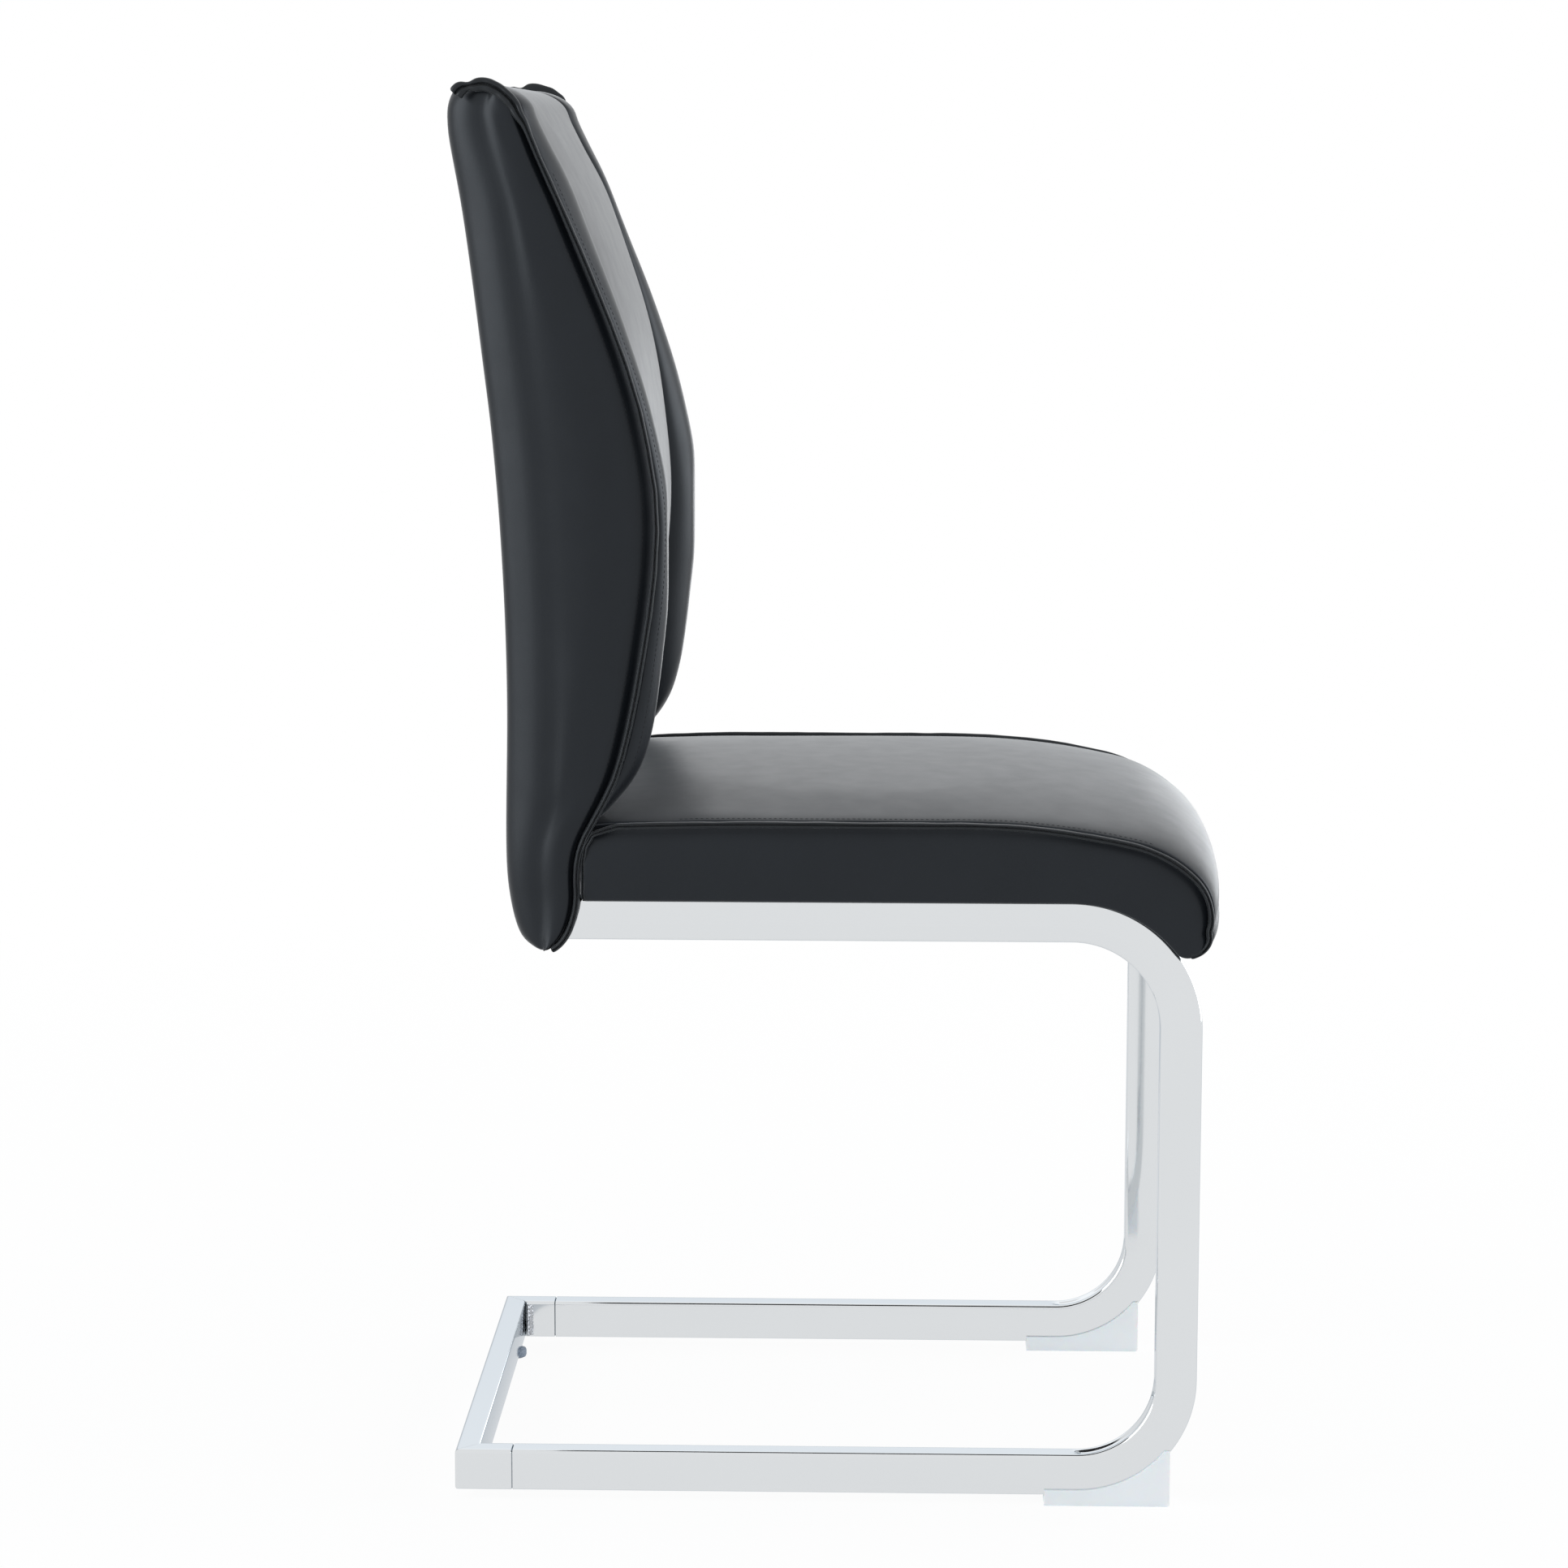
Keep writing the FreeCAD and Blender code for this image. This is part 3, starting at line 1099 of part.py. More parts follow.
def inner_frame_room():
    """The room that the inner frame takes in the foam, with its tubes counted as full."""
    outer = value(POST_OUTER)
    reach = outer - S.post_width
    room = []
    for low_x in (-outer, reach):
        room.append(Part.makeBox(S.post_width, S.post_depth, S.post_height, Vector(low_x, -S.post_depth, 0)))
    for rise in (S.lower_cross_height, S.post_height - S.upper_cross_drop):
        corner = Vector(-reach, -S.post_depth, rise - S.cross_tube / 2)
        room.append(Part.makeBox(2 * reach, S.cross_tube, S.cross_tube, corner))
    corner = Vector(-outer, -S.post_depth - S.panel_thickness, S.panel_rise)
    panel_height = S.post_height - S.panel_drop - S.panel_rise
    room.append(Part.makeBox(2 * outer, S.panel_thickness, panel_height, corner))
    return copies(Part.makeCompound(room), [LEANING])


for side_name, side_sign in SIDES:
    post(side_name, side_sign)
back_cross("back_cross_lower", "Sizes.lower_cross_height")
back_cross("back_cross_upper", "(Sizes.post_height - Sizes.upper_cross_drop)")
support_panel()
post_face = value(POST_OUTER) - S.post_width
post_bolt_places = [sideways(side * post_face, y, z, -side) for _, side in SIDES for y, z in insert_places]
post_bolt = hexagon_bolt(S.bolt_head, S.bolt / 2 - LOOSE, S.bolt_head_height, S.post_width + S.insert_length)
group("post_bolts", post_bolt, post_bolt_places)


# Back upholstery: foam, a cover sewn from panels and the two welts


def rail_slot(gap):
    """The room that the two seat rails take inside the back cushion."""
    reach = S.tube_thickness / 2 + gap
    rear = S.rail_setback - S.cap_thickness - gap
    slots = []
    for _, side in SIDES:
        corner = Vector(side * tube_x - reach, -2 * S.seat_setback, S.rail_rise - gap)
        slots.append(Part.makeBox(2 * reach, 2 * S.seat_setback - rear, S.tube_height + 2 * gap, corner))
    return Part.makeCompound(slots)


def seat_envelope(gap):
    """The rear part of the seat grown by a gap all round, as the back cushion must clear it."""
    stations = [share * (half_seat - S.piping) for share in SEAT_STATIONS] + [half_seat + gap + MARGIN]
    bulges = [(x, crown(min(abs(x) / half_seat, 1.0))) for x in symmetric(stations)]
    return ruled([plane_wire(x, seat_section(-gap, bulge)) for x, bulge in bulges])


back_half = seat_width / 2
welt_x = back_half - S.piping / 2
welts = {side: cord_along(side * welt_x, welt_edges(), S.piping) for _, side in SIDES}
cushion = back_shape(0.0).cut(seat_envelope(S.seat_gap))
cushion_inner = back_shape(S.cover_thickness).cut(seat_envelope(S.seat_gap + S.cover_thickness))
back_skin = cushion.cut(cushion_inner).cut(rail_slot(S.slot_clearance))
foam_inset = S.cover_thickness + S.foam_fit
back_foam = back_shape(foam_inset).cut(seat_envelope(S.seat_gap + foam_inset))
back_foam = back_foam.cut(rail_slot(S.slot_clearance)).cut(inner_frame_room())
head_room = hexagon(S.bolt_head + 3, S.bolt_head_height + S.foam_fit, 0)
back_foam = back_foam.cut(copies(head_room, post_bolt_places))


def largest(shape):
    """The main solid of a cut shape, without the slivers left outside a welt."""
    solid = max(shape.Solids, key=lambda one: abs(one.Volume))
    return solid if solid.Volume > 0 else solid.reversed()


piece("seat_foam", largest(seat_foam))
piece("seat_cover", largest(seat_skin))
piece("back_foam", largest(back_foam))
piece("back_cover", largest(back_skin))
for side_name, side_sign in SIDES:
    piece(f"back_welt_{side_name}", welts[side_sign])
    piece(f"seat_piping_{side_name}", seat_cords[side_sign])


# Move the whole chair over its origin, check every piece and write the files

doc.recompute()
overall = FreeCAD.BoundBox()
for item in parts:
    overall.add(item.Shape.optimalBoundingBox(True, False))
to_origin = Placement(Vector(-overall.Center.x, -overall.Center.y, -overall.ZMin), Rotation())
for item in parts:
    item.Placement = to_origin.multiply(item.Placement)
doc.recompute()

for item in doc.Objects:
    if "Invalid" in item.State or "Error" in item.State:
        raise RuntimeError(f"{item.Label} failed: {item.State}")
for item in parts:
    if item.Shape.isNull() or not item.Shape.isValid():
        raise RuntimeError(f"{item.Label} has no valid shape")

os.makedirs("parts", exist_ok=True)
for item in parts:
    item.Shape.exportStep(f"parts/{item.Label}.step")
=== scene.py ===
import bmesh
import bpy
import json
import math
from mathutils import Matrix, Vector, noise
from mathutils.bvhtree import BVHTree


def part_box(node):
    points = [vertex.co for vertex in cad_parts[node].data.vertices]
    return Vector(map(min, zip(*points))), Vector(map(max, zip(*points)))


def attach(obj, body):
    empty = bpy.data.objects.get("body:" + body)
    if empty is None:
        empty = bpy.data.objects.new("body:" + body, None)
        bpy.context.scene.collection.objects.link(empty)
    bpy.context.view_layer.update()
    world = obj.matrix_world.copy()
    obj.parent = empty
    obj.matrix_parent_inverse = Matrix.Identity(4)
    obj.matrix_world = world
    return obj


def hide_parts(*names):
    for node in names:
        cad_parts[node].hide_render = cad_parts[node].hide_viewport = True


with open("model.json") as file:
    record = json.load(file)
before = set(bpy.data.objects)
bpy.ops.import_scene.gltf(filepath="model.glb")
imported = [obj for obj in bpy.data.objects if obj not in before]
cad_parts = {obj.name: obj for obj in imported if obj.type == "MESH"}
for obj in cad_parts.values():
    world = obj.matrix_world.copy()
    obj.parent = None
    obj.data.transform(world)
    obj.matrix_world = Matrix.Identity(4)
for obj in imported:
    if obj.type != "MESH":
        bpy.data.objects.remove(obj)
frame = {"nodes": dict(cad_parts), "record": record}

# Points are drawn in millimetres as (x, forward, height): x across the chair, forward from the rear
# face of the base crossbar, height above the underside of the base tubes. The photograph is taken
# from the chair's right, where x is negative. That side is called near here, and the left one far.

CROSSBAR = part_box("base_crossbar")
REAR_Y, BASE_Z = CROSSBAR[1].y, CROSSBAR[0].z
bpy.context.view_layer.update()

# The frame's outside, the height of the seat rails' underside and where the rails end at the rear
FRAME_WIDTH, FRAME_DEPTH, RAIL_RISE, RAIL_START = 410.0, 521.0, 395.0, 58.0
# The tube's section and corner radius, the inner radii of its bends, the length of a corner tube
TUBE_H, TUBE_T, TUBE_ROUND = 29.0, 18.5, 2.4
LOWER_BEND, UPPER_BEND, STUB = 54.0, 62.0, 40.0
RAIL_TOP = RAIL_RISE + TUBE_H
TUBE_X = (FRAME_WIDTH - TUBE_T) / 2
LOWER_CENTRE = (FRAME_DEPTH - TUBE_H - LOWER_BEND, TUBE_H + LOWER_BEND)
UPPER_CENTRE = (FRAME_DEPTH - TUBE_H - UPPER_BEND, RAIL_RISE - UPPER_BEND)
# Half the width of the cushions
HALF = FRAME_WIDTH / 2 + 10.0


def at(x, forward, height):
    return Vector((x / 1000, REAR_Y - forward / 1000, BASE_Z + height / 1000))


def smooth(low, high, value):
    share = min(max((value - low) / (high - low), 0.0), 1.0)
    return share * share * (3 - 2 * share)


def wobble(value, seed, pitch):
    """Smooth noise between about -1 and 1 along a line."""
    return noise.noise(Vector((value / pitch, seed * 7.13, 0.37)))


class Line:
    """A smooth curve through (where, value) knots. Beyond its ends it keeps their values."""

    def __init__(self, knots):
        self.at, self.value = zip(*sorted(knots))
        self.slope = []
        last = len(self.at) - 1
        for i in range(last + 1):
            a, b = max(i - 1, 0), min(i + 1, last)
            self.slope.append((self.value[b] - self.value[a]) / (self.at[b] - self.at[a]))

    def __call__(self, where):
        where = min(max(where, self.at[0]), self.at[-1])
        i = max(k for k in range(len(self.at) - 1) if self.at[k] <= where)
        width = self.at[i + 1] - self.at[i]
        t = (where - self.at[i]) / width
        return ((2 * t**3 - 3 * t**2 + 1) * self.value[i]
                + (t**3 - 2 * t**2 + t) * width * self.slope[i]
                + (3 * t**2 - 2 * t**3) * self.value[i + 1]
                + (t**3 - t**2) * width * self.slope[i + 1])


def new_object(name, data):
    made = bpy.data.objects.new(name, data)
    bpy.context.scene.collection.objects.link(made)
    return made


def mesh_object(name, points, faces, look, round_shading=True):
    """A mesh whose faces all point outward."""
    mesh = bpy.data.meshes.new(name)
    mesh.from_pydata([tuple(p) for p in points], [], faces)
    mesh.validate()
    outward = bmesh.new()
    outward.from_mesh(mesh)
    bmesh.ops.recalc_face_normals(outward, faces=outward.faces)
    outward.to_mesh(mesh)
    outward.free()
    mesh.update()
    mesh.polygons.foreach_set("use_smooth", [round_shading] * len(mesh.polygons))
    mesh.materials.append(look)
    return new_object(name, mesh)


def skin(count, rows, caps=True):
    """The faces over rows of closed rings, each of count points."""
    faces = []
    for r in range(rows - 1):
        for i in range(count):
            j = (i + 1) % count
            faces.append((r * count + i, r * count + j, (r + 1) * count + j, (r + 1) * count + i))
    if caps:
        faces.append(tuple(reversed(range(count))))
        faces.append(tuple(range((rows - 1) * count, rows * count)))
    return faces


def lofted(rings):
    """Points and faces of a closed skin over rings."""
    return [p for ring in rings for p in ring], skin(len(rings[0]), len(rings))


def joined(parts):
    """Points and faces of several closed skins as one."""
    points, faces = [], []
    for part_points, part_faces in parts:
        start = len(points)
        points += part_points
        faces += [tuple(i + start for i in face) for face in part_faces]
    return points, faces


def finish_piece(piece, nodes):
    """The piece rides on the chair and stands for its CAD nodes."""
    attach(piece, "root")
    if nodes:
        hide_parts(*nodes)


def subdivided(piece):
    smoothing = piece.modifiers.new("smoothing", "SUBSURF")
    smoothing.levels = smoothing.render_levels = 1


# Materials. Scales and bump distances are in metres.


def material(name):
    made = bpy.data.materials.new(name)
    made.use_nodes = True
    tree = made.node_tree
    return made, tree, tree.nodes["Principled BSDF"]


def put(node, values):
    for name, value in values.items():
        node.inputs[name].default_value = value


def texture_place(tree, scale):
    """Object coordinates in steps of scale metres."""
    place = tree.nodes.new("ShaderNodeTexCoord")
    mapping = tree.nodes.new("ShaderNodeMapping")
    put(mapping, {"Scale": (1.0 / scale,) * 3})
    tree.links.new(place.outputs["Object"], mapping.inputs["Vector"])
    return mapping.outputs["Vector"]


def add_noise(tree, scale, detail=3.0):
    node = tree.nodes.new("ShaderNodeTexNoise")
    put(node, {"Scale": 1.0, "Detail": detail, "Roughness": 0.55})
    tree.links.new(texture_place(tree, scale), node.inputs["Vector"])
    return node.outputs["Fac"]


def add_cells(tree, scale):
    node = tree.nodes.new("ShaderNodeTexVoronoi")
    put(node, {"Scale": 1.0})
    tree.links.new(texture_place(tree, scale), node.inputs["Vector"])
    return node.outputs["Distance"]


def ramp(tree, source, low, high, out_low, out_high):
    node = tree.nodes.new("ShaderNodeMapRange")
    put(node, {"From Min": low, "From Max": high, "To Min": out_low, "To Max": out_high})
    tree.links.new(source, node.inputs["Value"])
    return node.outputs["Result"]


def bump(tree, height, strength, distance, before=None):
    node = tree.nodes.new("ShaderNodeBump")
    put(node, {"Strength": strength, "Distance": distance})
    tree.links.new(height, node.inputs["Height"])
    if before:
        tree.links.new(before, node.inputs["Normal"])
    return node.outputs["Normal"]


def tinted(tree, bsdf, factor, dark, light):
    mix = tree.nodes.new("ShaderNodeMix")
    mix.data_type = "RGBA"
    tree.links.new(factor, mix.inputs["Factor"])
    put(mix, {"A": (*dark, 1), "B": (*light, 1)})
    tree.links.new(mix.outputs["Result"], bsdf.inputs["Base Color"])


def uneven(tree, bsdf, scale, detail, low, high):
    """Roughness that drifts between low and high."""
    drift = ramp(tree, add_noise(tree, scale, detail), 0.3, 0.7, low, high)
    tree.links.new(drift, bsdf.inputs["Roughness"])


def leather(name, dark, light, rough=(0.36, 0.40), grain=0.16, specular=0.28, sheen=0.22):
    """Coated leather with soft creases, pebbles and a fine grain."""
    made, tree, bsdf = material(name)
    tinted(tree, bsdf, add_noise(tree, 0.035, 4.0), dark, light)
    uneven(tree, bsdf, 0.02, 3.0, *rough)
    put(bsdf, {"Specular IOR Level": specular, "Specular Tint": (0.88, 0.94, 1.0, 1),
               "Sheen Weight": sheen, "Sheen Roughness": 0.3, "Sheen Tint": (0.92, 0.96, 1.0, 1)})
    creases = bump(tree, add_noise(tree, 0.016, 3.0), 0.035, 0.0012)
    pebbles = bump(tree, add_cells(tree, 0.00075), grain, 0.00012, creases)
    fine = bump(tree, add_noise(tree, 0.0004, 2.0), grain * 0.7, 0.00008, pebbles)
    tree.links.new(fine, bsdf.inputs["Normal"])
    return made


def chrome(name, colour, low=0.05, high=0.10):
    """Plated metal that gets darker towards grazing angles."""
    made, tree, bsdf = material(name)
    tinted(tree, bsdf, add_noise(tree, 0.12, 2.0), [c * 0.985 for c in colour], colour)
    put(bsdf, {"Metallic": 1.0, "Specular Tint": (0.62, 0.66, 0.70, 1)})
    uneven(tree, bsdf, 0.05, 2.0, low, high)
    waves = bump(tree, add_noise(tree, 0.045, 1.0), 0.03, 0.0006)
    tree.links.new(waves, bsdf.inputs["Normal"])
    return made


def plastic(name, colour, rough, inner=0.0):
    """Moulded plastic or paint. inner is the share of light scattered inside."""
    made, tree, bsdf = material(name)
    tinted(tree, bsdf, add_noise(tree, 0.02, 2.0), [c * 0.96 for c in colour], colour)
    uneven(tree, bsdf, 0.01, 2.0, rough - 0.05, rough + 0.05)
    put(bsdf, {"Subsurface Weight": inner, "Subsurface Scale": 0.004})
    texture = bump(tree, add_noise(tree, 0.0012, 2.0), 0.05, 0.0001)
    tree.links.new(texture, bsdf.inputs["Normal"])
    return made


def bead(name):
    """The rough metal of a weld."""
    made, tree, bsdf = material(name)
    tinted(tree, bsdf, add_noise(tree, 0.003, 3.0), (0.30, 0.31, 0.33), (0.68, 0.70, 0.73))
    put(bsdf, {"Metallic": 0.9, "Roughness": 0.34})
    tree.links.new(bump(tree, add_cells(tree, 0.0035), 0.9, 0.0012), bsdf.inputs["Normal"])
    return made


def wood(name):
    made, tree, bsdf = material(name)
    tinted(tree, bsdf, add_noise(tree, 0.03, 6.0), (0.42, 0.27, 0.15), (0.70, 0.53, 0.34))
    put(bsdf, {"Roughness": 0.7})
    return made


def cloth(name):
    made, tree, bsdf = material(name)
    tinted(tree, bsdf, add_noise(tree, 0.002, 3.0), (0.012, 0.012, 0.013), (0.03, 0.03, 0.032))
    put(bsdf, {"Roughness": 0.95})
    tree.links.new(bump(tree, add_noise(tree, 0.0008, 2.0), 0.3, 0.0002), bsdf.inputs["Normal"])
    return made


LEATHER = leather("leather_smooth", (0.0052, 0.0066, 0.0088), (0.0082, 0.0100, 0.0130))
LEATHER_EDGE = leather("leather_fold", (0.008, 0.009, 0.010), (0.016, 0.018, 0.020),
                       rough=(0.34, 0.44), grain=0.12)
THREAD = leather("thread_black", (0.004, 0.004, 0.005), (0.012, 0.013, 0.014),
                 rough=(0.6, 0.7), grain=0.3, specular=0.3, sheen=0.0)
CHROME = chrome("chrome_plate", (0.715, 0.735, 0.75))
WELD = bead("weld_bead")
ZINC = chrome("zinc_plate", (0.62, 0.62, 0.60), 0.3, 0.4)
PAINT = plastic("black_paint", (0.02, 0.02, 0.022), 0.4)
WHITE = plastic("white_nylon", (0.88, 0.91, 0.93), 0.36, 0.2)
GREY = plastic("grey_nylon", (0.22, 0.27, 0.34), 0.45)
DARK = plastic("black_nylon", (0.015, 0.015, 0.016), 0.5)
PLY = wood("plywood")
LINING = cloth("dust_cloth")

SLOT_MATERIALS = {
    "chrome_tube": CHROME, "weld_metal": WELD, "zinc_steel": ZINC, "painted_steel": PAINT,
    "white_plastic": WHITE, "grey_plastic": GREY, "black_plastic": DARK, "plywood": PLY,
    "dust_cloth": LINING, "black_leather": LEATHER, "foam": LINING,
}
for part in frame["record"]["subparts"]:
    node = frame["nodes"][part["node"]]
    chosen = SLOT_MATERIALS[part["material_slot"]]
    if not node.material_slots:
        node.data.materials.append(chosen)
    for slot in node.material_slots:
        slot.material = chosen


# Chrome frame: tubes with rolled corners, and the inner wall drawn in through the bends

# Where the drawn-in wall has points, half its width, and how deep it is drawn in
CREASE_X = (5.6, 4.2, 2.6, 1.2, 0, -1.2, -2.6, -4.2, -5.6)
CREASE_HALF, CREASE_DEPTH = 6.4, 1.5
# A tube's end is drawn in to this share, so the seam to the next tube shows
SEAM_SHRINK = 0.94
# The crossbar's thickness as a share of the tube's, and the gap at its mitres
BAR_THIN, BAR_GAP = 0.9, 0.15


def rounded_section(crease=0.0):
    """The tube's outline as (across, inward) points, inward towards the centre of the bends."""
    half_t, half_h, r = TUBE_T / 2, TUBE_H / 2, TUBE_ROUND
    outline = []
    for cx, cy, start in ((half_t - r, half_h - r, 0), (r - half_t, half_h - r, 90),
                          (r - half_t, r - half_h, 180), (half_t - r, r - half_h, 270)):
        for step in range(6):
            angle = math.radians(start + 18 * step)
            outline.append((cx + r * math.cos(angle), cy + r * math.sin(angle)))
        if start == 0:
            for across in CREASE_X:
                share = across / CREASE_HALF
                outline.append((across, half_h - crease * (1 - share * share) ** 2))
    return outline


def side_tube_rings(side):
    """Rings from the seam at the rear of the base to the end of the seat rail."""
    stations = []
    base_mid, rail_mid = TUBE_H / 2, RAIL_RISE + TUBE_H / 2

    def arc(centre, radius, start, heading):
        for step in range(0, 91, 2):
            angle = math.radians(start + step)
            spot = (centre[0] + radius * math.cos(angle), centre[1] + radius * math.sin(angle))
            share = step / 90
            crease = min(smooth(-0.04, 0.05, share), 1 - smooth(0.93, 1.0, share))
            stations.append((spot, heading + math.radians(step), crease))

    for forward in (STUB + 0.1, STUB + 0.55, 120, 240, 360, LOWER_CENTRE[0] - 6,
                    LOWER_CENTRE[0] - 3):
        stations.append(((forward, base_mid), 0.0, 0.0))
    arc(LOWER_CENTRE, LOWER_BEND + TUBE_H / 2, -90, 0.0)
    for height in (120, 200, 280):
        stations.append(((FRAME_DEPTH - TUBE_H / 2, height), math.pi / 2, 0.0))
    arc(UPPER_CENTRE, UPPER_BEND + TUBE_H / 2, 0, math.pi / 2)
    for forward in (UPPER_CENTRE[0] - 4, 360, 240, 120, RAIL_START):
        stations.append(((forward, rail_mid), math.pi, 0.0))
    rings = []
    for i, ((forward, height), heading, crease) in enumerate(stations):
        inward = (-math.sin(heading), math.cos(heading))
        shrink = SEAM_SHRINK if i == 0 else 1.0
        rings.append([at(side * TUBE_X + across * shrink, forward + inward[0] * into * shrink,
                         height + inward[1] * into * shrink)
                      for across, into in rounded_section(CREASE_DEPTH * crease)])
    return rings


def corner_tube_rings(side):
    """Rings along the short tube from its mitre at the crossbar to the seam."""
    rings = []
    for share in (0.0, 0.02, 0.5, 0.985, 1.0):
        shrink = SEAM_SHRINK if share == 1.0 else 1.0
        ring = []
        for across, into in rounded_section():
            x = side * TUBE_X + across * shrink
            mitre = FRAME_WIDTH / 2 - abs(x)
            ring.append(at(x, mitre + (STUB - mitre) * share, TUBE_H / 2 + into * shrink))
        rings.append(ring)
    return rings


def crossbar_rings():
    """Rings along the crossbar from mitre to mitre, at shares of its half length."""
    rings = []
    for share in (-1.0, -0.98, -0.4, 0.4, 0.98, 1.0):
        ring = []
        for across, into in rounded_section():
            forward = (TUBE_T / 2 + across) * BAR_THIN
            x = share * (FRAME_WIDTH / 2 - forward - BAR_GAP)
            ring.append(at(x, forward, TUBE_H / 2 + into))
        rings.append(ring)
    return rings


def add_tube(name, rings, nodes):
    piece = mesh_object(name, *lofted(rings), CHROME)
    edges = piece.modifiers.new("edges", "EDGE_SPLIT")
    edges.split_angle = math.radians(50)
    finish_piece(piece, nodes)


for side, name in ((-1, "right"), (1, "left")):
    add_tube(f"bent_tube_{name}", side_tube_rings(side), [f"side_tube_{name}"])
    add_tube(f"corner_tube_{name}", corner_tube_rings(side), [f"base_corner_{name}"])
add_tube("rear_bar", crossbar_rings(), ["base_crossbar"])

end_caps = []
for side in (-1, 1):
    rings = []
    for ahead, shrink in ((3.0, SEAM_SHRINK), (2.4, 1.0), (0.1, 1.0)):
        rings.append([at(side * TUBE_X + across * shrink, RAIL_START - ahead,
                         RAIL_RISE + TUBE_H / 2 + into * shrink)
                      for across, into in rounded_section()])
    end_caps.append(lofted(rings))
finish_piece(mesh_object("end_caps", *joined(end_caps), DARK), ["rail_end_caps"])

# The round glides' profile as (radius, height), from inside the crossbar to the floor
GLIDE = ((0.4, 2.5), (4.2, 2.5), (5.0, 0.6), (7.4, 0.0), (8.0, -1.4), (8.0, -4.6), (7.4, -6.2),
         (6.0, -6.9), (0.4, -7.0))
GLIDE_X, GLIDE_FORWARD, GLIDE_STEPS = 155, 12.0, 28
glides = []
for side in (-1, 1):
    rings = []
    for radius, height in GLIDE:
        angles = [2 * math.pi * step / GLIDE_STEPS for step in range(GLIDE_STEPS)]
        rings.append([at(side * GLIDE_X + radius * math.cos(angle),
                         GLIDE_FORWARD + radius * math.sin(angle), height) for angle in angles])
    glides.append(lofted(rings))
finish_piece(mesh_object("round_glides", *joined(glides), GREY), ["rear_glides"])

# The moulded glides under the lower bends keep their CAD shape, with softer edges
for name in ("front_glide_right", "front_glide_left"):
    soften = frame["nodes"][name].modifiers.new("soft_edges", "BEVEL")
    soften.width = 0.0007
    soften.segments = 3
    soften.limit_method = "ANGLE"
    soften.angle_limit = math.radians(35)

WELD_END, WELD_STEPS = 2.2, 40


def add_weld(name, side, node):
    """A bumpy bead up the inner corner of the base."""
    corner_x = FRAME_WIDTH / 2 - TUBE_T
    rings = []
    for step in range(WELD_STEPS + 1):
        height = WELD_END + (TUBE_H - 2 * WELD_END) * step / WELD_STEPS
        swell = 3.6 + 0.9 * abs(math.sin(step * 0.62 + side)) + 0.5 * wobble(step, 3 + side, 3.0)
        ring = []
        for k in range(9):
            angle = math.radians(90 * k / 8)
            out = swell * (0.62 + 0.38 * abs(math.cos(2 * angle)))
            ring.append(at(side * (corner_x - out * math.cos(angle)),
                           TUBE_T + out * math.sin(angle), height))
        ring.append(at(side * (corner_x + 0.3), TUBE_T - 0.3, height))
        rings.append(ring if side > 0 else ring[::-1])
    finish_piece(mesh_object(name, *lofted(rings), WELD), [node])


add_weld("bead_right", -1, "corner_weld_right")
add_weld("bead_left", 1, "corner_weld_left")


# Seat: rows follow the edge from the rear over the nose, columns go across the top, down the band
# and back under

# Where the seat's rear stands, its edge's height over the rails, and where the edge's nose ends
SEAT_REAR, SEAT_EDGE, SEAT_NOSE = 93.0, 54.0, 526.0
# How much further forward and higher the middle of the seat is than its edge, and how far from the
# middle the crown ends
CROWN_REACH, CROWN_RISE, CROWN_HALF = 12.6, 13.6, 213.0
# The nose in arcs: radius, degrees, points, and what the crown adds to the radius
NOSE_ARCS = ((545.0, 12.6, 8, 0.0), (90.0, 31.4, 8, 2.0), (40.0, 46.0, 8, -5.0),
             (24.0, 22.0, 3, 0.0))
# The underside wraps round the tubes' upper bend, at this radius and for this many degrees
WRAP_RADIUS, WRAP = UPPER_BEND + TUBE_H + 0.4, 51.0
TIP_STEPS = 12
# Frames of cloth simulation
SWELL_FRAMES = 16


def turn(start, heading, radius, degrees, count):
    """Points along an arc that turns right, and the heading at its end."""
    spots = []
    before = math.radians(heading)
    for i in range(1, count + 1):
        after = math.radians(heading - degrees * i / count)
        spots.append((start[0] + radius * (math.sin(before) - math.sin(after)),
                      start[1] - radius * (math.cos(before) - math.cos(after))))
    return spots, heading - degrees


def wrap_spot(degrees):
    """A point of the underside round the bend, 0 degrees at its top."""
    angle = math.radians(degrees)
    return (UPPER_CENTRE[0] + WRAP_RADIUS * math.sin(angle),
            UPPER_CENTRE[1] + WRAP_RADIUS * math.cos(angle))


